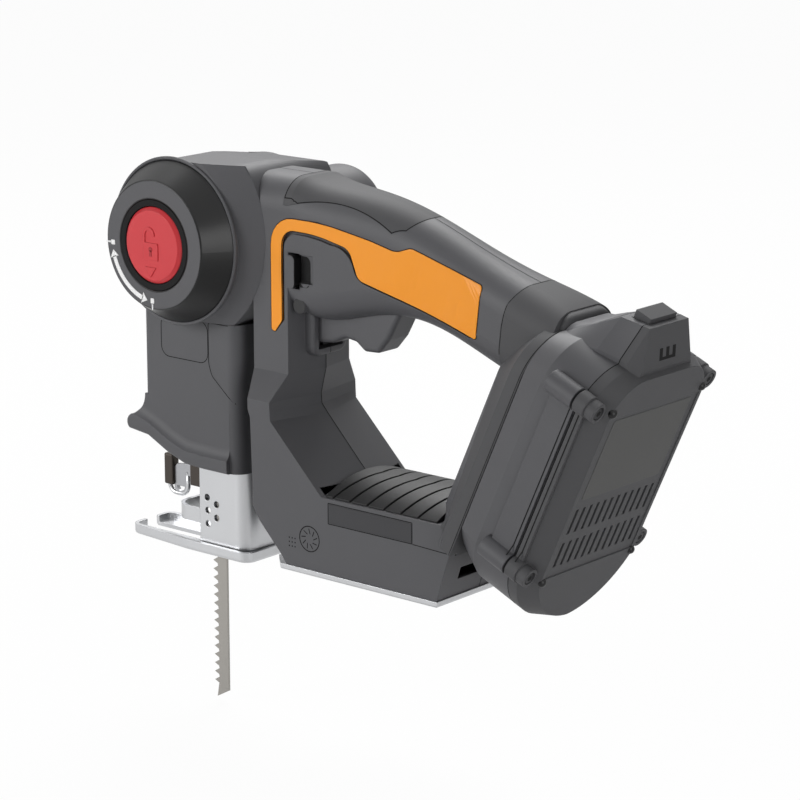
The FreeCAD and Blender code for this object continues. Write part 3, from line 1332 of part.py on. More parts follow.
def make_pack_cases():
    """The pack's two cases, bolted together through four side bosses."""
    face, split, back = S.dock_face, S.pack_split, S.pack_back
    rail, gap = S.rail_half, 0.35
    front_boss = [leaning_rod(y, u, 5.0, split - 15, split - 0.8) for y, u in pack_bolts()]
    rear_boss = [leaning_rod(y, u, 5.0, split + 0.4, split + 6) for y, u in pack_bolts()]
    rear_boss += [leaning_rod(y, u, 4.4, split, back - 2) for y, u in pack_bolts()]
    holes = [leaning_rod(y, u, 1.5, split - 9, back) for y, u in pack_bolts()]
    neck = leaning_box(face - 1, face + 4.9, 4 - gap - rail, rail + gap - 4, 60, S.rail_high + 0.6)
    head = leaning_box(face + 4.25, face + S.rail_depth + gap, -rail - gap, rail + gap, 60, S.rail_high + 0.6)
    ways = [leaning_box(face + S.rail_depth, face + S.rail_depth + 3.2, y - 1, y + 1, 60, S.rail_low + 17)
            for y in (-14, 0, 14)]
    latch_well = leaning_box(split - 8.4, split + 0.4, -9.4, 9.4, S.hump_high - 8, S.hump_high + 1)
    nose = pack_loft(pack_arch(face, S.dock_half, S.pack_low + 5, S.pack_high - 4),
                     pack_arch(face + 11, S.pack_half, S.pack_low, S.pack_high),
                     pack_arch(split, S.pack_half, S.pack_low, S.pack_high))
    front = cut(fuse(nose, hump("front"), *front_boss, *side_panels(face + 17.7, split - 0.7, 119, 196)),
                cell_room(), neck, head, latch_well, *ways, *holes)
    node(front, "pack_front_case")
    tail = pack_loft(pack_arch(split, S.pack_half, S.pack_low, S.pack_high),
                     pack_arch(split + 5, S.pack_half, S.pack_low, S.pack_high),
                     pack_arch(back, S.pack_half - 5.5, S.pack_low + 3, S.pack_high - 1))
    rear = fuse(tail, hump("rear"), *rear_boss, *side_panels(split + 0.7, split + 4.6, 116, 198))
    vents = [leaning_box(back - 6, back + 1, -26.4 + 4.8 * i - 0.9, -26.4 + 4.8 * i + 0.9, low, high)
             for i in range(12) for low, high in ((120.5, 133), (137.5, 150))]
    inside = leaning_box(split - 1, back - S.wall, -30, 30, S.cells_low + 2, S.cells_low + 90)
    sinks = [leaning_rod(y, u, 3.0, back - 4.3, back + 1) for y, u in pack_bolts()]
    label = leaning_box(back - 0.5, back + 1, -30.5, 30.5, 115.5, 196)
    node(cut(rear, cell_room(), inside, latch_well, *vents, *holes, *sinks, label), "pack_rear_case")
    screws = [fuse(leaning_rod(y, u, 1.4, split - 8.6, back - 3.9),
                   leaning_rod(y, u, 2.6, back - 4, back - 2.2))
              for y, u in pack_bolts()]
    node(fuse(*screws), "pack_screws")


def make_cells():
    """Five round cells across the pack."""
    centre, low = S.pack_split - S.cell_radius + 1.4, S.cells_low + S.cell_radius
    cells = [leaning_cross_rod(centre, low + S.cell_pitch * i, S.cell_radius, S.cell_length / 2)
             for i in range(5)]
    node(fuse(*cells), "battery_cells")


def make_pack_latch():
    """Push button that frees the pack, and its spring."""
    split = S.pack_split
    node(leaning_box(split - 8, split, -9, 9, S.hump_high - 5, S.hump_high + 1.4), "pack_latch")
    low, high = S.hump_high - 7.7, S.hump_high - 5.3
    middle_v = split - 4.2
    node(cut(leaning_post(middle_v, 0, 3.2, low, high), leaning_post(middle_v, 0, 2.2, low - 1, high + 1)),
         "latch_spring")


def leaning_post(v, y, radius, u0, u1):
    """A cylinder along the pack's length."""
    made = doc.addObject("Part::Cylinder", "Post")
    bind(made, "Radius", radius)
    bind(made, "Height", u1 - u0)
    return leaning(made, v, y, u0)


# ---------------------------------------------------------------- build

make_pivot_cap()
make_axis_lock_button()
make_lock_plate()
make_lock_spring()
make_head_shells()
make_plunger_guides()
make_plunger_bushes()
make_shoe_bracket()
make_shoe()
make_finger_guard()
make_plunger()
make_saw_blade()
make_release_lever()
make_gears()
make_crank_shaft()
make_crank_bearing()
make_motor()
gear_outer = make_gear_housing()
make_motor_cap()
make_housing(gear_outer)
make_base_plate()
make_rear_pad()
make_controls()
make_dock_rail()
make_pack_cases()
make_cells()
make_pack_latch()

doc.recompute()
failed = [thing.Name + " " + thing.Label for thing in doc.Objects
          if "Invalid" in thing.State or "Error" in thing.State]
if failed:
    raise RuntimeError("failed: " + ", ".join(failed))
for feature in cuts:
    base = feature.BaseFeature
    if base and feature.Shape.Volume > base.Shape.Volume - 1e-6:
        raise RuntimeError(f"{feature.Label} of {feature.getParentGeoFeatureGroup().Label} cuts nothing")
os.makedirs("parts", exist_ok=True)
for label, thing in nodes.items():
    shape = thing.Shape
    if shape.isNull() or not shape.isValid():
        raise RuntimeError(f"{label} has no valid shape")
    shape.exportStep(f"parts/{label}.step")
    b = shape.BoundBox
    print(f"{label}: {len(shape.Solids)} solids, x {b.XMin:.1f}..{b.XMax:.1f}, "
          f"y {b.YMin:.1f}..{b.YMax:.1f}, z {b.ZMin:.1f}..{b.ZMax:.1f}")
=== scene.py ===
import json
import math

import bmesh
import bpy
from mathutils import Matrix, Vector
from mathutils.bvhtree import BVHTree


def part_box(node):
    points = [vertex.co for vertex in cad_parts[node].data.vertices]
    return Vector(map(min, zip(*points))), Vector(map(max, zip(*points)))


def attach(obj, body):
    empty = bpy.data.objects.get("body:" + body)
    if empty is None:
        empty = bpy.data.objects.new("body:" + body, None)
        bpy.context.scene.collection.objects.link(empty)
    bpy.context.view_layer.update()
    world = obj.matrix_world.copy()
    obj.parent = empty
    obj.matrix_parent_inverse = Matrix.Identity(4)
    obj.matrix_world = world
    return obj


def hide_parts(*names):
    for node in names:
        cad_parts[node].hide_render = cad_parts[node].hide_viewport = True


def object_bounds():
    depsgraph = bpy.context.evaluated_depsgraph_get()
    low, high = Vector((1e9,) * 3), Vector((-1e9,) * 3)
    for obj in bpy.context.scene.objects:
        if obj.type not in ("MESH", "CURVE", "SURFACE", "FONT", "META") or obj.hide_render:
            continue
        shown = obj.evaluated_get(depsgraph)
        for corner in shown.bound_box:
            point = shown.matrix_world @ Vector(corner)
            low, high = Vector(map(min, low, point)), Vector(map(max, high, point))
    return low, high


bl_info = {
    "name": "Turning Head Saw",
    "version": (1, 0, 0),
    "blender": (4, 5, 0),
    "location": "3D View > Sidebar > Saw",
    "description": "Finishes, soft edges and printed marks for a cordless saw with a turning head",
    "category": "Object",
}

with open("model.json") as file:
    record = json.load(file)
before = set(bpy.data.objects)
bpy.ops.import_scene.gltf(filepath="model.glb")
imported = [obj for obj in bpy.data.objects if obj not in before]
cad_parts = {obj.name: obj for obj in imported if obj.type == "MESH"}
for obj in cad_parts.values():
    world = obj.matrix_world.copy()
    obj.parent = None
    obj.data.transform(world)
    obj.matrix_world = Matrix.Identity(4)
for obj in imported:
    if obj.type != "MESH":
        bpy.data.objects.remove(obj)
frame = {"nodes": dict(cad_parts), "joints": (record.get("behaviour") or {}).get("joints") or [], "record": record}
CAD_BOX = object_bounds()
NODES = frame["nodes"]
MM = 0.001
JOINTS = {joint["name"]: joint for joint in frame["joints"]}
PIVOT = Vector(JOINTS["head_turn"]["pos_m"])
UP = Vector((0, 0, 1))
RIGHT = Vector((0, 1, 0))
SLIDE = Vector(JOINTS["battery_slide"]["axis"])
DEPTH = Vector((SLIDE.z, 0, -SLIDE.x))
PROUD = 0.05 * MM     # how far a line or sign lies off its surface
PRINT = 0.08 * MM     # thickness of a printed mark
CLEAR = 60            # millimetres to either side of the middle, clear of the whole saw
CAMERA_PLACE = Vector((0.923, -0.972, 0.403))
LAMPS_AIM = Vector((0.1, 0, 0.06))
LAMP_SIZE = 0.9


def linear(code, alpha=1.0):
    """Linear colour of an sRGB hex code."""
    def channel(pair):
        """One channel, from its two hex digits."""
        c = int(pair, 16) / 255
        return c / 12.92 if c <= 0.04045 else ((c + 0.055) / 1.055) ** 2.4
    return tuple(channel(code[i:i + 2]) for i in (1, 3, 5)) + (alpha,)


def colour(name, description, code):
    """A colour property whose default is given as sRGB hex."""
    return bpy.props.FloatVectorProperty(name=name, description=description, subtype="COLOR", size=4,
                                         min=0, max=1, default=linear(code))


def length(name, description, millimetres):
    """A length property whose default is given in millimetres."""
    return bpy.props.FloatProperty(name=name, description=description, subtype="DISTANCE", unit="LENGTH",
                                   min=0, default=millimetres * MM, precision=5)


def strength(name, description, value, unit="POWER"):
    """A lamp's power or another strength that can't be less than nothing."""
    return bpy.props.FloatProperty(name=name, description=description, default=value, min=0, unit=unit)


class SawFinish(bpy.types.PropertyGroup):
    """Colours and surface grain of the saw."""
    moulding: colour("Moulding", "Charcoal ABS of the housing and head", "#515154")
    overmould: colour("Overmould", "Soft black elastomer of grip, pad and dock", "#4A4A4C")
    inlay: colour("Inlay", "Orange ABS inlay", "#F99A12")
    button: colour("Lock button", "Red ABS of the head's lock", "#CF333A")
    sheet_steel: colour("Sheet steel", "Nickel plated shoe, bracket and base plate", "#C6C7C9")
    blade_steel: colour("Blade steel", "Bare ground blade", "#A09D98")
    ink: colour("Marking ink", "Pad printed marks", "#F6F6F6")
    grain: length("Grain", "Spacing of the moulded texture", 0.45)


class SawMarks(bpy.types.PropertyGroup):
    """Sizes of the joints, signs and prints on the saw."""
    joint: length("Joint", "Width of the dark joints between mouldings", 0.4)
    relief: length("Relief", "Height of raised signs", 0.35)
    arrow_radius: length("Arrow radius", "Middle of the turning arrow on the pivot cap", 25.8)
    arrow_stroke: length("Arrow stroke", "Width of the turning arrow", 2.2)
    inlay_rise: length("Inlay rise", "How far the orange inlays stand proud", 0.3)


class SawStage(bpy.types.PropertyGroup):
    """Camera and light."""
    azimuth: bpy.props.FloatProperty(name="Azimuth", description="Camera's turn round the saw",
                                     subtype="ANGLE", default=math.radians(40))
    elevation: bpy.props.FloatProperty(name="Elevation", description="Camera's height as an angle",
                                       subtype="ANGLE", default=math.radians(14))
    lens: bpy.props.FloatProperty(name="Lens", description="Focal length on a 36 mm sensor", default=135,
                                  subtype="DISTANCE_CAMERA")
    key: strength("Key", "Power of the lamp at the front left", 17)
    top: strength("Top", "Power of the lamp above and behind", 21)
    fill: strength("Fill", "Power of the lamp at the rear", 8)
    ambient: strength("Ambient", "Light from all round", 0.12, "NONE")
    backdrop: colour("Backdrop", "Floor and background", "#FFFFFF")


# ------------------------------------------------------------ materials

def add(tree, kind, settings=None, **links):
    """Adds a shader node: settings go to its own values or inputs, links come from other outputs."""
    node = tree.nodes.new(kind)
    for name, value in (settings or {}).items():
        if hasattr(node, name):
            setattr(node, name, value)
        else:
            node.inputs[socket_key(name)].default_value = value
    for name, source in links.items():
        tree.links.new(source, node.inputs[socket_key(name)])
    return node


def socket_key(name):
    """A socket's name or, after an underscore, its number."""
    return int(name[1:]) if name[1:].isdigit() else name.replace("_", " ")


def blank(name, **surface):
    """A material with one Principled shader, and its node tree, shader and object coordinates."""
    made = bpy.data.materials.new(name)
    made.use_nodes = True
    tree = made.node_tree
    shader = tree.nodes["Principled BSDF"]
    for socket, value in surface.items():
        shader.inputs[socket.replace("_", " ")].default_value = value
    coordinates = tree.nodes.new("ShaderNodeTexCoord").outputs["Object"]
    return made, tree, shader, coordinates


def vary(tree, shader, code, variation, shade_by, roughness, swing, gloss_by):
    """Lets one noise make the colour lighter and darker, and one make the surface rougher and smoother."""
    shade = add(tree, "ShaderNodeMix", {"data_type": "RGBA"}, _0=shade_by)
    for socket, share in ((6, 1 - variation), (7, 1 + variation)):
        shade.inputs[socket].default_value = tuple(min(1, c * share) for c in code[:3]) + (1,)
    tree.links.new(shade.outputs[2], shader.inputs["Base Color"])
    gloss = add(tree, "ShaderNodeMapRange", {"To_Min": roughness - swing, "To_Max": roughness + swing},
                Value=gloss_by)
    tree.links.new(gloss.outputs[0], shader.inputs["Roughness"])


def relieve(tree, shader, rounding, strength, relief, height):
    """Softens the edges in the shading and lets a noise raise the grain."""
    edge = add(tree, "ShaderNodeBevel", {"Radius": rounding, "samples": 4})
    bump = add(tree, "ShaderNodeBump", {"Strength": strength, "Distance": relief}, Height=height,
               Normal=edge.outputs[0])
    tree.links.new(bump.outputs[0], shader.inputs["Normal"])


def moulded_plastic(name, code, grain, roughness, relief, variation=0.1):
    """Injection moulded plastic: the fine matt grain of its mould and a slight unevenness of shade."""
    made, tree, shader, place = blank(name, Roughness=roughness, Base_Color=code, Specular_IOR_Level=0.38)
    cloud = add(tree, "ShaderNodeTexNoise", {"Scale": 22.0, "Detail": 2.0}, Vector=place)
    fine = add(tree, "ShaderNodeTexNoise", {"Scale": 1 / grain, "Detail": 2.0, "Roughness": 0.65},
               Vector=place)
    both = add(tree, "ShaderNodeMix", {"data_type": "FLOAT", "Factor": 0.5}, _2=cloud.outputs["Fac"],
               _3=fine.outputs["Fac"])
    vary(tree, shader, code, variation, both.outputs[0], roughness, 0.06, fine.outputs["Fac"])
    relieve(tree, shader, 0.5 * MM, 0.5, relief, fine.outputs["Fac"])
    return made


def metal(name, code, grain, roughness, relief, stretch=(1, 1, 1), variation=0.08):
    """Metal with a blasted surface or, where the grain is stretched, a ground or drawn one."""
    made, tree, shader, place = blank(name, Metallic=1.0, Roughness=roughness, Base_Color=code)
    turned = add(tree, "ShaderNodeMapping", {"Scale": stretch}, Vector=place)
    fine = add(tree, "ShaderNodeTexNoise", {"Scale": 1 / grain, "Detail": 3.0}, Vector=turned.outputs[0])
    cloud = add(tree, "ShaderNodeTexNoise", {"Scale": 35.0, "Detail": 2.0}, Vector=place)
    both = add(tree, "ShaderNodeMix", {"data_type": "FLOAT", "Factor": 0.4}, _2=fine.outputs["Fac"],
               _3=cloud.outputs["Fac"])
    vary(tree, shader, code, variation, both.outputs[0], roughness, 0.08, both.outputs[0])
    relieve(tree, shader, 0.3 * MM, 0.4, relief, fine.outputs["Fac"])
    return made


def make_materials():
    """Every finish by the record's material slot, then those that only this script uses."""
    finish = bpy.context.scene.saw_finish
    grain = finish.grain
    finer = grain * 0.8
    return {
        # Shell: dull charcoal with a faint sparkle. The spark eroded grain is drawn about three
        # times as coarse as a real one, so that it can be seen in a picture of the whole saw. The
        # scratches and frosting of the metals below are drawn coarse for the same reason.
        "charcoal_abs": moulded_plastic("Spark eroded ABS", tuple(finish.moulding), grain, 0.52, 0.05 * MM),
        # Grip, pad and dock: blacker and flatter than the shell, with hardly any highlight.
        "black_rubber": moulded_plastic("Thermoplastic elastomer", tuple(finish.overmould), finer, 0.66,
                                        0.03 * MM),
        # Inlays and the head's lock: clear, even colours with a soft, broad highlight.
        "orange_abs": moulded_plastic("Orange ABS", tuple(finish.inlay), finer, 0.42, 0.02 * MM, 0.02),
        "red_abs": moulded_plastic("Red ABS", tuple(finish.button), finer, 0.4, 0.02 * MM, 0.03),
        # Shoe, bracket and base plate: bright and silky, with broad, soft reflections.
        "satin_steel": metal("Nickel plated steel", tuple(finish.sheet_steel), 0.5 * MM, 0.34, 0.012 * MM),
        # Blade: greyer than the shoe, with fine scratches along its height.
        "blade_steel": metal("Ground saw steel", tuple(finish.blade_steel), 0.6 * MM, 0.38, 0.01 * MM,
                             (1, 1, 12)),
        # Inside the head: a frosted casting, turned parts with rings round their axis, honey
        # coloured porous bushes, and darker wire.
        "cast_aluminium": metal("Die cast aluminium", linear("#B9BABC"), 1.2 * MM, 0.5, 0.04 * MM),
        "turned_steel": metal("Turned steel", linear("#A9AAAD"), 0.5 * MM, 0.3, 0.008 * MM, (1, 8, 1)),
        "sintered_bronze": metal("Sintered bronze", linear("#A98753"), 0.35 * MM, 0.55, 0.03 * MM),
        "spring_wire": metal("Spring steel wire", linear("#8D8E92"), 0.3 * MM, 0.3, 0.01 * MM),
        # Screws: black with a dull metal gleam, hardly lighter than the holes that they sit in.
        "zinc_screw": metal("Black oxide steel", linear("#3A3A3C"), 0.4 * MM, 0.42, 0.01 * MM),
        # Motor and electronics: reddish bars, a glossy green board and smooth blue cell sleeves.
        "copper_bars": metal("Drawn copper", linear("#B87752"), 0.5 * MM, 0.35, 0.01 * MM, (1, 6, 1)),
        "circuit_board": moulded_plastic("Solder mask", linear("#1D5A33"), 1.0 * MM, 0.35, 0.01 * MM),
        "cell_wrap": moulded_plastic("PVC shrink wrap", linear("#2F6CA8"), 1.5 * MM, 0.3, 0.01 * MM),
        # Rear pad and pin ends: the darkest matt surface, on the pin ends also painted shade beside the trigger.
        # Pivot cap, lock-off button and studs: black, and smooth enough to mirror the lamps along their edges.
        "soft black": moulded_plastic("Ribbed elastomer", linear("#1D1D1E"), finer, 0.5, 0.03 * MM),
        "gloss black": moulded_plastic("Polished black ABS", linear("#101011"), grain, 0.32, 0.01 * MM),
        # Joints, and painted shade in recesses, the ring round the head's lock button, the screws' six-lobed
        # hollows and the keyhole: no highlight at all, so that they look like depth.
        "joint shadow": moulded_plastic("Joint in shadow", linear("#0B0B0C"), grain, 0.9, 0.01 * MM),
        "red shadow": moulded_plastic("Red ABS in shadow", linear("#A8262D"), grain, 0.6, 0.01 * MM),
        # Prints and plates: flat white ink, and bare places that are smoother than their shell.
        "marking ink": moulded_plastic("Pad printing ink", tuple(finish.ink), grain, 0.5, 0.005 * MM, 0.02),
        "name place": moulded_plastic("Polished ABS", linear("#333336"), grain, 0.42, 0.01 * MM),
        "plain label": moulded_plastic("Polyester label film", linear("#3B3B3A"), grain, 0.45, 0.01 * MM),
        # Release sleeve and guide lug: a warm, dull grey-brown coating.
        "phosphated steel": metal("Phosphated steel", linear("#4A4541"), 0.5 * MM, 0.5, 0.02 * MM),
    }


FINISHES = {}    # the materials, once they are made


def finish_of(slot):
    """The finish of a material slot, made once."""
    if not FINISHES:
        FINISHES.update(make_materials())
    return FINISHES[slot]


# ------------------------------------------------------------ stage

class SAW_OT_stage(bpy.types.Operator):
    """Sets up the camera, the lamps, a pale floor and a white background"""
    bl_idname = "saw.stage"
    bl_label = "Stage"

    def execute(self, context):
        stage = context.scene.saw_stage
        scene = context.scene
        scene.view_settings.view_transform = "Standard"
        view = Vector((-math.sin(stage.azimuth) * math.cos(stage.elevation),
                       math.cos(stage.azimuth) * math.cos(stage.elevation), -math.sin(stage.elevation)))
        camera = bpy.data.objects.new("Camera", bpy.data.cameras.new("Camera"))
        camera.data.lens = stage.lens
        camera.data.sensor_width = 36
        camera.location = CAMERA_PLACE
        camera.rotation_euler = view.to_track_quat("-Z", "Y").to_euler()
        scene.collection.objects.link(camera)
        scene.camera = camera
        self.lamp("Key lamp", (-0.85, -1.45, 0.55), stage.key)
        self.lamp("Top lamp", (-0.5, 0.75, 1.3), stage.top)
        self.lamp("Fill lamp", (1.5, -0.5, 0.25), stage.fill)
        self.sky(scene, stage)
        self.floor(stage)
        return {"FINISHED"}

    def lamp(self, name, place, power):
        """A square lamp that shines on the saw."""
        light = bpy.data.lights.new(name, "AREA")
        light.size = LAMP_SIZE
        light.energy = power
        lamp = bpy.data.objects.new(name, light)
        lamp.location = place
        lamp.rotation_euler = (LAMPS_AIM - lamp.location).to_track_quat("-Z", "Y").to_euler()
        bpy.context.scene.collection.objects.link(lamp)

    def shown(self, tree, path, mirrored):
        """Full strength to the camera, the given strength in reflections, and none to other rays."""
        dimmed = add(tree, "ShaderNodeMath", {"operation": "MULTIPLY"}, _0=mirrored,
                     _1=path.outputs["Is Glossy Ray"])
        seen = add(tree, "ShaderNodeMath", {"operation": "MAXIMUM"}, _0=path.outputs["Is Camera Ray"],
                   _1=dimmed.outputs[0])
        return seen.outputs[0]

    def sky(self, scene, stage):
        """A world that is white to the camera, darker low down in reflections, and faint as light."""
        scene.world = scene.world or bpy.data.worlds.new("World")
        scene.world.use_nodes = True
        tree = scene.world.node_tree
        tree.nodes.clear()
        path = add(tree, "ShaderNodeLightPath")
        way = add(tree, "ShaderNodeTexCoord")
        height = add(tree, "ShaderNodeSeparateXYZ", _0=way.outputs["Generated"])
        spread = {"From_Min": 0.0, "From_Max": 0.6, "To_Min": 0.2, "To_Max": 1.0}
        wall = add(tree, "ShaderNodeMapRange", spread, Value=height.outputs["Z"])
        through = add(tree, "ShaderNodeMath", {"operation": "MAXIMUM"},
                      _0=self.shown(tree, path, wall.outputs[0]), _1=path.outputs["Is Transmission Ray"])
        strength = add(tree, "ShaderNodeMapRange", {"To_Min": stage.ambient, "To_Max": 1.0},
                       Value=through.outputs[0])
        light = add(tree, "ShaderNodeBackground", {"Color": (1, 1, 1, 1)}, Strength=strength.outputs[0])
        add(tree, "ShaderNodeOutputWorld", Surface=light.outputs[0])

    def floor(self, stage):
        """A large floor under the blade's point: white to the camera, darker rearward in reflections."""
        low = CAD_BOX[0][2] - 1.5 * MM
        bm = bmesh.new()
        bmesh.ops.create_grid(bm, x_segments=1, y_segments=1, size=4)
        bmesh.ops.translate(bm, verts=bm.verts, vec=(0, 0, low))
        floor = to_object(bm, "Floor")
        made, tree, shader, place = blank("Pale floor", Roughness=0.9)
        cloud = add(tree, "ShaderNodeTexNoise", {"Scale": 3.0}, Vector=place)
        shade = add(tree, "ShaderNodeMapRange", {"To_Min": 0.8, "To_Max": 0.82}, Value=cloud.outputs["Fac"])
        tree.links.new(shade.outputs[0], shader.inputs["Base Color"])
        path = add(tree, "ShaderNodeLightPath")
        across = add(tree, "ShaderNodeSeparateXYZ", _0=place)
        spread = {"From_Min": -0.6, "From_Max": 0.6, "To_Min": 0.95, "To_Max": 0.25}
        dim = add(tree, "ShaderNodeMapRange", spread, Value=across.outputs["X"])
        share = add(tree, "ShaderNodeMath", {"operation": "MULTIPLY", "_1": 0.965},
                    _0=self.shown(tree, path, dim.outputs[0]))
        white = add(tree, "ShaderNodeEmission", {"Color": tuple(stage.backdrop)})
        both = add(tree, "ShaderNodeMixShader", Fac=share.outputs[0], _1=shader.outputs[0],
                   _2=white.outputs[0])
        tree.links.new(both.outputs[0], tree.nodes["Material Output"].inputs["Surface"])
        floor.data.materials.append(made)


# ------------------------------------------------------------ modelling

def to_object(bm, name):
    """Turns a bmesh into an object at the origin."""
    mesh = bpy.data.meshes.new(name)
    bm.to_mesh(mesh)
    bm.free()
    made = bpy.data.objects.new(name, mesh)
    bpy.context.scene.collection.objects.link(made)
    return made


def mm(x, y, z):
    """A point given in millimetres."""
    return Vector((x, y, z)) * MM


def leaning(depth, y, up):
    """A point in millimetres of the battery's frame: depth to the rear, right, and up along its slide."""
    return (DEPTH * depth + SLIDE * up + RIGHT * y) * MM


def beside(side):
    """Gives points in millimetres, x and z, on a plane clear of the saw's left (-1) or right (1)."""
    def at(x, z):
        return mm(x, side * CLEAR, z)
    return at


def oblong(at, low, high):
    """The four corners between two opposite ones, each placed by the function given."""
    (a, b), (c, d) = low, high
    return [at(a, b), at(c, b), at(c, d), at(a, d)]


def merged(*names):
    """The surface of some construction pieces with their shared corners joined."""
    bm = bmesh.new()
    for name in names:
        bm.from_mesh(NODES[name].data)
    bmesh.ops.remove_doubles(bm, verts=bm.verts, dist=0.002 * MM)
    return bm


def skin(*names):
    """A search tree over the surface of some construction pieces."""
    bm = merged(*names)
    tree = BVHTree.FromBMesh(bm)
    bm.free()
    return tree


def patch(corners, rounding=0.0):
    """A flat face whose corners are rounded, all alike or each by its own amount."""
    bm = bmesh.new()
    verts = [bm.verts.new(corner) for corner in corners]
    bm.faces.new(verts)
    amounts = rounding if isinstance(rounding, (list, tuple)) else [rounding] * len(verts)
    for vert, amount in zip(verts, amounts):
        if amount:
            bmesh.ops.bevel(bm, geom=[vert], offset=amount, affect="VERTICES", segments=6, profile=0.5,
                            material=-1)
    return bm


def turned_to(centre, facing):
    """The placing of a flat shape about a centre so that it faces a direction."""
    return Matrix.Translation(centre) @ facing.to_track_quat("Z", "Y").to_matrix().to_4x4()


def disc(centre, radius, facing, steps=32):
    """A round flat face."""
    bm = bmesh.new()
    bmesh.ops.create_circle(bm, cap_ends=True, radius=radius, segments=steps,
                            matrix=turned_to(centre, facing))
    return bm


def block(centre, size, rounding):
    """A box with softened edges."""
    bm = bmesh.new()
    bmesh.ops.create_cube(bm, size=1)
    bmesh.ops.scale(bm, verts=bm.verts, vec=size)
    bmesh.ops.translate(bm, verts=bm.verts, vec=centre)
    bmesh.ops.bevel(bm, geom=bm.edges[:], offset=rounding, affect="EDGES", segments=3, profile=0.5,
                    material=-1)
    return bm


def rim(bm, width):
    """Keeps only a border of a flat face."""
    made = bmesh.ops.inset_region(bm, faces=bm.faces[:], thickness=width, use_even_offset=True,
                                  use_boundary=True)
    border = set(made["faces"])
    bmesh.ops.delete(bm, geom=[face for face in bm.faces if face not in border], context="FACES")
    return bm


def joined(*parts):
    """Several bmeshes as one."""
    bm = bmesh.new()
    for part in parts:
        mesh = bpy.data.meshes.new("part")
        part.to_mesh(mesh)
        part.free()
        bm.from_mesh(mesh)
        bpy.data.meshes.remove(mesh)
    return bm


def divided(bm, longest):
    """Cuts long edges, so that a flat face can follow a round surface."""
    for _ in range(6):
        long = [edge for edge in bm.edges if edge.calc_length() > longest]
        if not long:
            break
        bmesh.ops.subdivide_edges(bm, edges=long, cuts=1, use_grid_fill=True)
    bmesh.ops.triangulate(bm, faces=bm.faces)
    return bm


def laid(bm, tree, toward, proud):
    """Lays a flat shape on a surface along a direction, a little proud of it."""
    for vert in bm.verts:
        spot, _, _, _ = tree.ray_cast(vert.co - toward * 0.3, toward)
        if spot is None:
            raise RuntimeError(f"nothing to lie on at {tuple(vert.co)}")
        vert.co = spot - toward * proud
    return bm


def corners_of(made):
    """The corners among what a modelling step has made."""
    return [part for part in made["geom"] if isinstance(part, bmesh.types.BMVert)]


def slab(bm, rise):
    """Turns flat faces into a thin plate."""
    made = bmesh.ops.extrude_face_region(bm, geom=bm.faces[:])
    bmesh.ops.translate(bm, verts=corners_of(made), vec=rise)
    return bm


def lofted(*flats):
    """A closed body through flat outlines that have as many corners each."""
    bm = joined(*flats)
    ends = list(bm.faces)
    for first, second in zip(ends, ends[1:]):
        bmesh.ops.bridge_loops(bm, edges=list(first.edges) + list(second.edges))
    bmesh.ops.delete(bm, geom=ends[1:-1], context="FACES_ONLY")
    return bm


def ring(centre, radius, inner, thick, facing, steps=96):
    """A flat ring about an axis, as thick as given."""
    bm = bmesh.new()
    placing = turned_to(centre, facing)
    edge = bm.edges.new([bm.verts.new(placing @ Vector((r, 0, 0))) for r in (inner, radius)])
    bmesh.ops.spin(bm, geom=[edge, *edge.verts], cent=centre, axis=facing, angle=math.tau, steps=steps,
                   use_merge=True)
    bmesh.ops.remove_doubles(bm, verts=bm.verts, dist=0.001 * MM)
    return slab(bm, facing * thick)


def on_circle(radius, angle):
    """A point of a circle about the pivot, counted from the rear over the top."""
    return Vector((math.cos(angle), 0, math.sin(angle))) * radius


def arc_band(centre, radius, width, start, end, steps=24):
    """A flat band along part of a circle about the Y axis."""
    bm = bmesh.new()
    across = [centre + on_circle(radius + side * width / 2, start) for side in (-1, 1)]
    edge = bm.edges.new([bm.verts.new(spot) for spot in across])
    bmesh.ops.spin(bm, geom=[edge, *edge.verts], cent=centre, axis=-RIGHT, angle=end - start, steps=steps)
    return bm


def piece(bm, name, body, slot, finish, smooth=False):
    """Makes a piece that rides on a body."""
    bmesh.ops.recalc_face_normals(bm, faces=bm.faces)
    for face in bm.faces:
        face.smooth = smooth
    made = to_object(bm, name)
    made.data.materials.append(finish)
    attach(made, body)
    return made


def cut_line(names, place, normal, width):
    """The line in which a plane cuts construction pieces, as a narrow band just proud of their surface."""
    bm = merged(*names)
    tree = BVHTree.FromBMesh(bm)
    bmesh.ops.bisect_plane(bm, geom=bm.verts[:] + bm.edges[:] + bm.faces[:], dist=1e-7, plane_co=place,
                           plane_no=normal, clear_inner=True, clear_outer=True)
    made = bmesh.ops.extrude_edge_only(bm, edges=bm.edges[:])
    bmesh.ops.translate(bm, verts=corners_of(made), vec=normal * width)
    bmesh.ops.translate(bm, verts=bm.verts, vec=-normal * width / 2)
    for vert in bm.verts:
        _, facing, _, _ = tree.find_nearest(vert.co)
        vert.co = vert.co + facing * PROUD
    return bm


def outline_of(name, toward, width):
    """A narrow band round the outline of a piece's outer face."""
    bm = merged(name)
    hidden = [face for face in bm.faces if face.normal.dot(toward) > -0.35]    # turned away or steep
    bmesh.ops.delete(bm, geom=hidden, context="FACES")
    rim(bm, width)
    bmesh.ops.translate(bm, verts=bm.verts, vec=-toward * PROUD)
    return bm


# ------------------------------------------------------------ pieces from the frame

# Nodes whose finish differs from that of their material slot.
OWN_FINISH = {"pivot_cap": "gloss black", "lock_off_button": "gloss black", "rear_pad": "soft black"}


class SAW_OT_finishes(bpy.types.Operator):
    """Gives each construction piece the finish of its material slot"""
    bl_idname = "saw.finishes"
    bl_label = "Finishes"

    def execute(self, context):
        for part in frame["record"]["subparts"]:
            mesh = NODES[part["node"]].data
            mesh.materials.clear()
            mesh.materials.append(finish_of(OWN_FINISH.get(part["node"], part["material_slot"])))
        return {"FINISHED"}


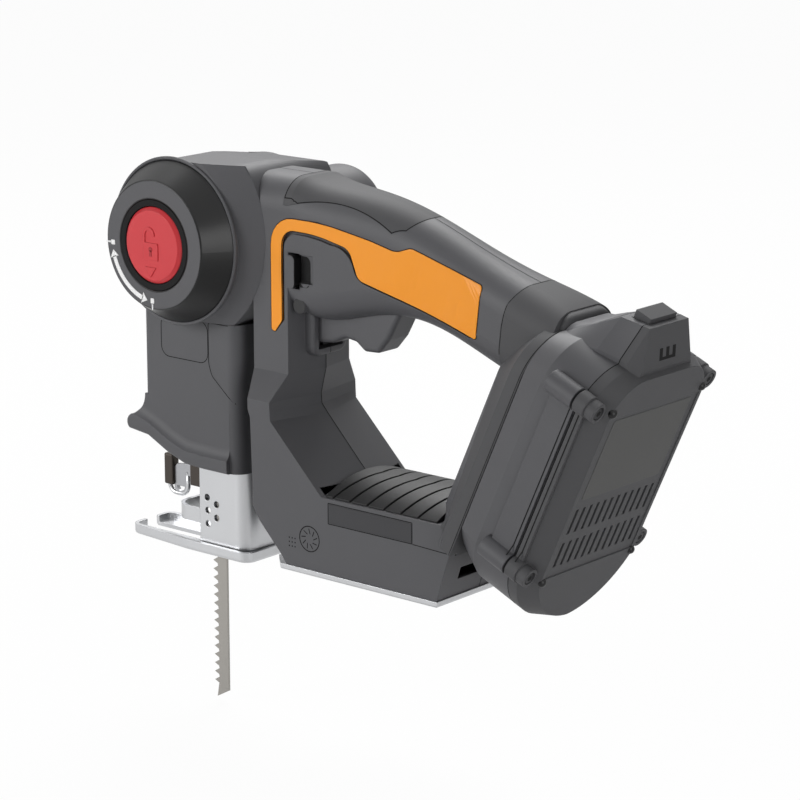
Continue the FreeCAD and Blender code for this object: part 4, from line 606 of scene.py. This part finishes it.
class SAW_OT_joints(bpy.types.Operator):
    """Draws the fine dark joints between the mouldings"""
    bl_idname = "saw.joints"
    bl_label = "Joints"

    def execute(self, context):
        width = context.scene.saw_marks.joint
        dark = finish_of("joint shadow")
        halves = mm(0, -0.05, 0)
        dock_seam, pack_seam = leaning(134.6, 0, 0), leaning(166.4, 0, 0)
        for name, node, place, normal, body, slot in (
                ("housing_joint", "housing_left", halves, RIGHT, "housing", "charcoal_abs"),
                ("dock_joint", "dock_overmould", dock_seam, DEPTH, "housing", "black_rubber"),
                ("head_joint", "head_left_shell", halves, RIGHT, "head", "charcoal_abs"),
                ("pack_joint", "pack_front_case", pack_seam, DEPTH, "battery", "charcoal_abs")):
            piece(cut_line([node], place, normal, width), name, body, slot, dark)
        groove = outline_of("soft_grip", -UP, width * 1.3)
        piece(groove, "soft_grip_groove", "housing", "charcoal_abs", dark)
        piece(self.overmould_edge(width), "overmould_edge", "housing", "black_rubber", dark)
        return {"FINISHED"}

    def overmould_edge(self, width):
        """The line on the handle at which the dock's overmould begins."""
        bm = merged("dock_overmould")
        tree = skin("dock_overmould", "housing_left", "housing_right")
        handle_side = 111.5 * MM    # the overmould's other end lies deeper than this

        def at_end(face):
            """Whether a face closes the overmould's front end."""
            return face.normal.dot(DEPTH) < -0.8 and abs(face.normal.y) < 0.02

        seam = {edge for edge in bm.edges if len({at_end(face) for face in edge.link_faces}) == 2
                and all(vert.co.dot(DEPTH) < handle_side for vert in edge.verts)}
        bmesh.ops.delete(bm, geom=[edge for edge in bm.edges if edge not in seam], context="EDGES")
        made = bmesh.ops.extrude_edge_only(bm, edges=bm.edges[:])
        bmesh.ops.translate(bm, verts=corners_of(made), vec=DEPTH * width)
        for vert in bm.verts:
            _, facing, _, _ = tree.find_nearest(vert.co)
            vert.co += facing * PROUD
        return bm


class SAW_OT_controls(bpy.types.Operator):
    """Gives the lock-off button its matt face and a dark patch beside it as painted shade of its thumb hollow, and
    the trigger pin its dark ends, dark also as painted shade beside the trigger
    """
    bl_idname = "saw.controls"
    bl_label = "Controls"

    def execute(self, context):
        low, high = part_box("lock_off_button")
        front = low[1] - PROUD
        face = patch(oblong(lambda x, z: Vector((x, front, z)), (low[0], low[2]), (high[0], high[2])),
                     2.3 * MM)
        face = slab(face, -RIGHT * PRINT)
        piece(face, "lock_off_face", "lock_off", "charcoal_abs", finish_of("charcoal_abs"))
        near, inset, reach = high[0] + 0.9 * MM, 0.6 * MM, 5 * MM
        # A flat near-black patch laid on the housing beside the button: painted shade of the thumb hollow.
        recess_shade = patch(oblong(lambda x, z: Vector((x, -CLEAR * MM, z)), (near, low[2] + inset),
                              (near + reach, high[2] - inset)), [0, 1.5 * MM, 2.8 * MM, 0])
        recess_shade = laid(divided(recess_shade, 2 * MM), skin("housing_left"), RIGHT, PROUD)
        piece(recess_shade, "lock_off_recess_shade", "housing", "charcoal_abs", finish_of("joint shadow"))
        # The pin ends are the darkest matt finish: pin heads, and painted shade beside the trigger as well.
        piece(self.pin_ends(), "trigger_pin_ends_and_shade", "housing", "turned_steel", finish_of("soft black"))
        return {"FINISHED"}

    def pin_ends(self):
        """A thin disc over the trigger pin on each side of the housing, dark both as the pin's end and as painted
        shade beside the trigger.
        """
        low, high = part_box("trigger_pin")
        x, z = (low[0] + high[0]) / 2, (low[2] + high[2]) / 2
        whole = 2.6 * MM    # the skin is whole this far above the pin
        walls = skin("housing_left", "housing_right")
        ends = []
        for side in (-1, 1):
            outward = Vector((0, side, 0))
            spot, _, _, _ = walls.ray_cast(Vector((x, side * CLEAR * MM, z + whole)), -outward)
            ends.append(slab(disc(Vector((x, spot.y, z)), 3.45 * MM, outward), outward * PROUD))
        return joined(*ends)


class SAW_OT_inlays(bpy.types.Operator):
    """Makes the orange inlays with crisp corners and a raised, softened face"""
    bl_idname = "saw.inlays"
    bl_label = "Inlays"

    def execute(self, context):
        width = context.scene.saw_marks.joint
        rise = context.scene.saw_marks.inlay_rise
        rear = 57.4    # rear edge of the strip down the column
        # Corners of the outline, x and z, each with its rounding.
        corners = (((50.6, 113.3), 1.2), ((50.6, 164.9), 13), ((79, 164.6), 8), ((104.8, 159.6), 0),
                   ((118.4, 156.2), 2.5), ((126.5, 158.9), 1.5), ((165.8, 147.8), 2), ((162.9, 123.8), 2),
                   ((98.4, 141.2), 2.5), ((93.6, 154.2), 3), ((76, 158.6), 6), ((rear, 159), 7),
                   ((rear, 118.2), 0.8), ((53.2, 112.7), 0.8))
        for name, side in (("left", -1), ("right", 1)):
            tree = skin(f"inlay_{name}", f"housing_{name}")
            toward = Vector((0, -side, 0))
            points = [beside(side)(x, z) for (x, z), _ in corners]
            amounts = [amount * MM for _, amount in corners]
            groove = laid(divided(rim(patch(points, amounts), width * 1.2), 4 * MM), tree, toward, PROUD)
            piece(groove, f"inlay_{name}_groove", "housing", "charcoal_abs", finish_of("joint shadow"))
            face = patch(points, amounts)
            border = bmesh.ops.inset_region(face, faces=face.faces[:], thickness=width,
                                            use_even_offset=True, use_boundary=True)
            bmesh.ops.delete(face, geom=border["faces"], context="FACES")
            laid(divided(face, 4 * MM), tree, toward, rise)
            made = piece(slab(face, toward * 1.2 * MM), f"inlay_{name}_face", "housing", "orange_abs",
                         finish_of("orange_abs"))
            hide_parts(f"inlay_{name}")
        return {"FINISHED"}


class SAW_OT_cap_rings(bpy.types.Operator):
    """Adds the matt face of the pivot cap, a near-black ring of painted shade between its button and that face,
    and the lip that it sits in
    """
    bl_idname = "saw.cap_rings"
    bl_label = "Pivot cap rings"

    def execute(self, context):
        face, seat = (corner[1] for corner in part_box("pivot_cap"))
        centre = Vector((PIVOT.x, face, PIVOT.z))
        matt, gap = (28.6, 21.2), (20.3, 17.6)    # outer and inner radius
        # The inner ring is near black: painted shade between the button and the matt cap face.
        for name, (radius, inner), finish in (("cap_face", matt, "charcoal_abs"),
                                              ("button_gap", gap, "joint shadow")):
            flat = ring(centre, radius * MM, inner * MM, PROUD, -RIGHT)
            piece(flat, name, "head", "charcoal_abs", finish_of(finish))
        lip = PIVOT + Vector((37.3 * MM, seat - PIVOT.y - 0.3 * MM, 0))
        bm = bmesh.new()
        bmesh.ops.create_circle(bm, radius=0.85 * MM, segments=10, matrix=Matrix.Translation(lip))
        bmesh.ops.spin(bm, geom=bm.verts[:] + bm.edges[:], cent=PIVOT, axis=RIGHT, angle=math.tau, steps=96,
                       use_merge=True)
        bmesh.ops.remove_doubles(bm, verts=bm.verts, dist=0.001 * MM)
        piece(bm, "cap_lip", "head", "charcoal_abs", finish_of("charcoal_abs"), smooth=True)
        return {"FINISHED"}


class SAW_OT_collar(bpy.types.Operator):
    """Closes the handle's rear end and carries its outline on over the battery's front"""
    bl_idname = "saw.collar"
    bl_label = "Dock collar"

    def execute(self, context):
        # Outlines from front to rear: depth, half width, height and rounding of the upper corners.
        end = ((124, 13.2, 209.6, 5), (130, 14.2, 210.7, 6), (131, 17, 212.8, 8), (135.2, 18, 211.6, 8))
        ramp = ((135.8, 18, 211.6, 8), (139, 18, 213, 8), (144, 17.2, 217, 6), (150, 14, 221.2, 1))
        for outlines, name, body, slot in ((end, "handle_end", "housing", "black_rubber"),
                                           (ramp, "pack_collar", "battery", "charcoal_abs")):
            collar = lofted(*(self.arch(*outline) for outline in outlines))
            piece(collar, name, body, slot, finish_of(slot), smooth=True)
        return {"FINISHED"}

    def arch(self, v, half, high, rounding):
        """An outline square to the dock's depth, round at its two upper corners."""
        low = 197    # inside the dock, out of sight
        return patch(oblong(lambda y, u: leaning(v, y, u), (-half, low), (half, high)),
                     [0.4 * MM, 0.4 * MM, rounding * MM, rounding * MM])


class SAW_OT_turn_mark(bpy.types.Operator):
    """Prints the arrow on the pivot cap that shows how far the head turns"""
    bl_idname = "saw.turn_mark"
    bl_label = "Turning arrow"

    def execute(self, context):
        marks = context.scene.saw_marks
        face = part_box("pivot_cap")[0][1]
        centre = Vector((PIVOT.x, face - PROUD, PIVOT.z))
        radius, stroke = marks.arrow_radius, marks.arrow_stroke
        head = 1.5 * stroke
        wing = head * 0.8
        turn = head / radius
        start, end = math.radians(191), math.radians(260)
        parts = [arc_band(centre, radius, stroke, start + turn * 0.9, end - turn * 0.9)]
        for tip, back in ((start, turn), (end, -turn)):
            parts.append(patch([centre + on_circle(radius + out, tip + along)
                                for out, along in ((0, 0), (wing, back), (-wing, back))]))
        for degrees, way in ((183.5, Vector((-1, 0, 0))), (267, Vector((0, 0, -1)))):
            parts.append(self.saw_sign(centre + on_circle(radius, math.radians(degrees)), way))
        arrow = slab(joined(*parts), Vector((0, -PRINT, 0)))
        piece(arrow, "turn_mark", "head", "charcoal_abs", finish_of("marking ink"))
        return {"FINISHED"}

    def saw_sign(self, place, blade):
        """A tiny saw seen from the side: a blunt body and a thin blade along its way."""
        across = Vector((blade.z, 0, -blade.x))

        def at(a, b):
            return place + (across * a + blade * b) * MM
        body = patch(oblong(at, (-1.1, -1.6), (1.1, 0.8)), 0.4 * MM)
        strip = patch([at(-0.45, 1.1), at(0.45, 1.1), at(0.3, 3.8), at(-0.3, 3.8)])
        return joined(body, strip)


class SAW_OT_lock_mark(bpy.types.Operator):
    """Raises the open padlock and the pointer on the red button of the head's lock"""
    bl_idname = "saw.lock_mark"
    bl_label = "Lock mark"

    def execute(self, context):
        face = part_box("axis_lock_button")[0][1]
        centre = Vector((PIVOT.x, face, PIVOT.z)) + mm(-0.5, 0, 0)
        rise = Vector((0, -context.scene.saw_marks.relief, 0))

        def at(x, z):
            return centre + mm(x, 0, z)
        body = patch(oblong(at, (-4.4, -6.6), (4.4, 1.2)), 0.7 * MM)
        shackle = arc_band(at(-1.3, 4.6), 2.9 * MM, 1.5 * MM, math.radians(-5), math.radians(180))
        leg = patch(oblong(at, (-4.95, 4.6), (-3.45, 1.2)))
        pointer = patch([at(-3.6, -9.8), at(3.0, -9.8), at(-0.3, -14.4)], 0.3 * MM)
        lock = slab(joined(body, shackle, leg, pointer), rise)
        piece(lock, "lock_mark", "axis_lock", "red_abs", finish_of("red_abs"))
        # The keyhole is a darker copy of the button's red: painted shade of the engraved keyhole.
        hole = disc(at(0, -1.7), 1.1 * MM, -RIGHT)
        slit = patch([at(-0.55, -2.2), at(0.55, -2.2), at(0.8, -4.8), at(-0.8, -4.8)])
        keyhole = joined(hole, slit)
        bmesh.ops.translate(keyhole, verts=keyhole.verts, vec=rise)
        piece(slab(keyhole, rise * 0.3), "lock_keyhole", "axis_lock", "red_abs", finish_of("red shadow"))
        return {"FINISHED"}


class SAW_OT_head_cover(bpy.types.Operator):
    """Outlines the cover and the corner panel on both sides of the head"""
    bl_idname = "saw.head_cover"
    bl_label = "Head cover"

    def execute(self, context):
        width = context.scene.saw_marks.joint
        joint_end = mm(27, 0, 0)    # the corner panel runs on under the housing from here
        cover = ((-18, 111.2), (-18, 91.5), (11.5, 91.5), (11.5, 111.2))
        corner = ((11.5, 111.2), (11.5, 92), (13.4, 86.5), (29.5, 73), (40, 73), (40, 111.2))
        for name, node, side in (("left", "head_left_shell", -1), ("right", "head_right_shell", 1)):
            tree = skin(node)
            lines = []
            for points, rounding in ((cover, 5), (corner, 1.5)):
                flat = patch([beside(side)(x, z) for x, z in points], rounding * MM)
                rim(flat, width)
                beyond = flat.verts[:] + flat.edges[:] + flat.faces[:]
                bmesh.ops.bisect_plane(flat, geom=beyond, dist=1e-7, plane_co=joint_end, plane_no=(1, 0, 0),
                                       clear_outer=True)
                lines.append(divided(flat, 4 * MM))
            band = laid(joined(*lines), tree, Vector((0, -side, 0)), PROUD)
            piece(band, f"head_cover_{name}", "head", "charcoal_abs", finish_of("joint shadow"))
        return {"FINISHED"}


class SAW_OT_base_marks(bpy.types.Operator):
    """Marks the plain name place on both sides of the base and the blower sign on its left"""
    bl_idname = "saw.base_marks"
    bl_label = "Base marks"

    def execute(self, context):
        width = context.scene.saw_marks.joint
        for name, node, side in (("left", "housing_left", -1), ("right", "housing_right", 1)):
            tree = skin(node)
            toward = Vector((0, -side, 0))
            at = beside(side)
            border = rim(patch(oblong(at, (90.6, 33.6), (138.6, 43.4)), 0.5 * MM), width)
            crease = patch([at(138.6, 33.5), at(138.6, 33.9), at(158, 33.3), at(158, 32.9)])
            outline = laid(divided(joined(border, crease), 5 * MM), tree, toward, PROUD)
            piece(outline, f"name_place_line_{name}", "housing", "charcoal_abs", finish_of("joint shadow"))
            plate = divided(patch(oblong(at, (91.1, 34.1), (138.1, 42.9))), 5 * MM)
            plate = slab(laid(plate, tree, toward, PROUD), -toward * PROUD)
            piece(plate, f"name_place_{name}", "housing", "charcoal_abs", finish_of("name place"))
            if side < 0:
                self.blower(tree, toward, at)
        return {"FINISHED"}

    def blower(self, tree, toward, at):
        """A ring with fan blades and a field of dots: dust is blown from the line of cut."""
        centre = at(79.8, 24.8)
        parts = [rim(disc(centre, 6 * MM, -toward), 0.5 * MM)]
        for i in range(9):
            angle = math.radians(40 * i)
            root, tip = centre + on_circle(2.3 * MM, angle), centre + on_circle(4.7 * MM, angle + 0.25)
            half = on_circle(0.25 * MM, angle + math.pi / 2)
            parts.append(patch([root - half, tip - half, tip + half, root + half]))
        for column in range(3):
            for row in range(3):
                parts.append(disc(at(67.9 + 1.7 * column, 19.6 + 1.9 * row), 0.38 * MM, -toward, 10))
        sign = laid(joined(*parts), tree, toward, PROUD)
        piece(sign, "blower_sign", "housing", "charcoal_abs", finish_of("joint shadow"))


class SAW_OT_pack_marks(bpy.types.Operator):
    """Adds the battery's side grooves, plain rear label, panel line, studs and charge bars"""
    bl_idname = "saw.pack_marks"
    bl_label = "Battery marks"

    def execute(self, context):
        dark = finish_of("joint shadow")
        case = skin("pack_front_case", "pack_rear_case")
        grooves = []
        for side in (-1, 1):
            def along(v, u):
                return leaning(v, side * CLEAR, u)
            for depth in (163.9, 168.9):
                line = divided(patch(oblong(along, (depth, 121), (depth + 0.6, 194))), 6 * MM)
                grooves.append(laid(line, case, Vector((0, -side, 0)), PROUD))
        piece(joined(*grooves), "pack_side_grooves", "battery", "charcoal_abs", dark)
        rear = skin("pack_rear_case")

        def behind(y, u):
            return leaning(200, y, u)
        label = divided(patch(oblong(behind, (-27, 154.5), (27, 194)), 1.5 * MM), 8 * MM)
        label = slab(laid(label, rear, -DEPTH, PROUD), DEPTH * PROUD)
        piece(label, "rear_label", "battery", "black_rubber", finish_of("plain label"))
        line = rim(patch(oblong(behind, (-31, 116), (31, 196.5))), 0.45 * MM)
        border = laid(divided(line, 8 * MM), rear, -DEPTH, PROUD)
        piece(border, "rear_panel_line", "battery", "black_rubber", dark)
        studs = []
        for y, u in ((-31, 198.5), (31, 198.5), (-31, 114), (31, 114)):
            spot, facing, _, _ = rear.ray_cast(behind(y, u), -DEPTH)
            stud = bmesh.new()
            bmesh.ops.create_uvsphere(stud, u_segments=20, v_segments=12, radius=2.1 * MM,
                                      matrix=Matrix.Translation(spot - facing * 0.5 * MM))
            studs.append(stud)
        gloss = finish_of("gloss black")
        piece(joined(*studs), "rear_studs", "battery", "black_rubber", gloss, smooth=True)
        bars = [patch(oblong(behind, (y, 217.5), (y + 2.2, 221.2))) for y in (-5.6, -1.1, 3.4)]
        bars.append(patch(oblong(behind, (-5.6, 216.4), (5.6, 217.6))))
        gauge = laid(divided(joined(*bars), 3 * MM), rear, -DEPTH, PROUD)
        piece(gauge, "charge_bars", "battery", "black_rubber", dark)
        return {"FINISHED"}


class SAW_OT_drives(bpy.types.Operator):
    """Lays a flat, near-black six-lobed shape just over each screw head of the battery and the housing: painted
    shade of the hollow that a driver fits
    """
    bl_idname = "saw.drives"
    bl_label = "Screw drive_shades"

    def execute(self, context):
        # The star's height over the head, its radius, and the share of it that its notches keep.
        lift, lobe, waist = 0.04 * MM, 1.45 * MM, 0.26
        for node, body, facing in (("pack_screws", "battery", DEPTH), ("housing_screws", "housing", RIGHT)):
            shade_stars = []
            for centre, top in self.heads(node, facing):
                middle = centre + facing * (top + lift)
                # Each shape is near black: painted shade of the hollow in the screw head.
                shade_star = disc(middle, lobe, facing, 12)
                for vert in list(shade_star.verts)[1::2]:
                    vert.co = vert.co.lerp(middle, waist)
                shade_stars.append(shade_star)
            piece(joined(*shade_stars), f"{node}_drive_shades", body, "zinc_screw", finish_of("joint shadow"))
        return {"FINISHED"}

    def heads(self, node, facing):
        """Centre of each screw in its own plane, and how far its head reaches along its axis."""
        bm = merged(node)
        found = []
        left = set(bm.verts)
        while left:
            group, front = set(), [left.pop()]
            while front:
                vert = front.pop()
                group.add(vert)
                for edge in vert.link_edges:
                    other = edge.other_vert(vert)
                    if other in left:
                        left.discard(other)
                        front.append(other)
            across = [vert.co - facing * vert.co.dot(facing) for vert in group]
            low = [min(point[i] for point in across) for i in range(3)]
            high = [max(point[i] for point in across) for i in range(3)]
            middle = (Vector(low) + Vector(high)) / 2
            found.append((middle - facing * middle.dot(facing), max(vert.co.dot(facing) for vert in group)))
        bm.free()
        return found


class SAW_OT_release(bpy.types.Operator):
    """Adds the dark sleeve and the wire loop of the blade release, and the lug beside the plunger"""
    bl_idname = "saw.release"
    bl_label = "Blade release"

    def execute(self, context):
        low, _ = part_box("release_lever")
        grip = Vector((low[0] - 2.5 * MM, 0, low[2] + 11.7 * MM))
        dark = finish_of("phosphated steel")
        sleeve = block(grip, mm(5.6, 4.8, 15.0), 0.9 * MM)
        piece(sleeve, "release_sleeve", "blade_release", "turned_steel", dark)
        wire = self.loop(grip, low[2] + 0.4 * MM)
        piece(wire, "release_loop", "blade_release", "satin_steel", finish_of("satin_steel"), smooth=True)
        lug = block(mm(-5.2, -11.4, 37), mm(6.6, 2.6, 14), 0.6 * MM)
        piece(lug, "guide_lug", "head", "turned_steel", dark)
        return {"FINISHED"}

    def loop(self, grip, foot):
        """A wire that runs down out of the sleeve, across at the foot and up again."""
        left, right, arc = grip.x - 1.2 * MM, grip.x + 10.8 * MM, 4.6 * MM
        leg = grip.z - foot - arc
        wire = bmesh.new()
        start = Matrix.Translation((left, 0, grip.z))
        bmesh.ops.create_circle(wire, radius=1.1 * MM, segments=12, matrix=start)
        tip = self.drawn(wire, wire.edges[:], -UP * leg)
        tip = self.bent(wire, tip, Vector((left + arc, 0, foot + arc)))
        tip = self.drawn(wire, tip, Vector((right - left - 2 * arc, 0, 0)))
        tip = self.bent(wire, tip, Vector((right - arc, 0, foot + arc)))
        self.drawn(wire, tip, UP * leg)
        bmesh.ops.holes_fill(wire, edges=wire.edges[:])
        return wire

    def drawn(self, bm, tip, run):
        """Draws the wire's end out along a run."""
        made = bmesh.ops.extrude_edge_only(bm, edges=tip)
        verts = corners_of(made)
        bmesh.ops.translate(bm, verts=verts, vec=run)
        return [part for part in made["geom"] if isinstance(part, bmesh.types.BMEdge)
                and all(vert in verts for vert in part.verts)]

    def bent(self, bm, tip, centre):
        """Bends the wire's end a quarter turn round a centre."""
        made = bmesh.ops.spin(bm, geom=tip, cent=centre, axis=RIGHT, angle=math.radians(-90), steps=8)
        return [part for part in made["geom_last"] if isinstance(part, bmesh.types.BMEdge)]


OPERATORS = (SAW_OT_stage, SAW_OT_finishes, SAW_OT_joints, SAW_OT_controls, SAW_OT_inlays, SAW_OT_cap_rings,
             SAW_OT_collar, SAW_OT_turn_mark, SAW_OT_lock_mark, SAW_OT_head_cover, SAW_OT_base_marks,
             SAW_OT_pack_marks, SAW_OT_drives, SAW_OT_release)


class SAW_PT_panel(bpy.types.Panel):
    """Lists the saw's sizes, colours and operators"""
    bl_idname = "SAW_PT_panel"
    bl_label = "Turning Head Saw"
    bl_space_type = "VIEW_3D"
    bl_region_type = "UI"
    bl_category = "Saw"

    def draw(self, context):
        for group in (context.scene.saw_finish, context.scene.saw_marks, context.scene.saw_stage):
            box = self.layout.box()
            for name in group.bl_rna.properties.keys():
                if name not in ("rna_type", "name"):
                    box.prop(group, name)
        for operator in OPERATORS:
            self.layout.operator(operator.bl_idname)


CLASSES = (SawFinish, SawMarks, SawStage) + OPERATORS + (SAW_PT_panel,)


def register():
    for made in CLASSES:
        bpy.utils.register_class(made)
    bpy.types.Scene.saw_finish = bpy.props.PointerProperty(type=SawFinish)
    bpy.types.Scene.saw_marks = bpy.props.PointerProperty(type=SawMarks)
    bpy.types.Scene.saw_stage = bpy.props.PointerProperty(type=SawStage)


def unregister():
    del bpy.types.Scene.saw_stage
    del bpy.types.Scene.saw_marks
    del bpy.types.Scene.saw_finish
    for made in reversed(CLASSES):
        bpy.utils.unregister_class(made)


def main():
    register()
    for operator in OPERATORS:
        family, name = operator.bl_idname.split(".")
        getattr(getattr(bpy.ops, family), name)()


if __name__ == "__main__":
    main()
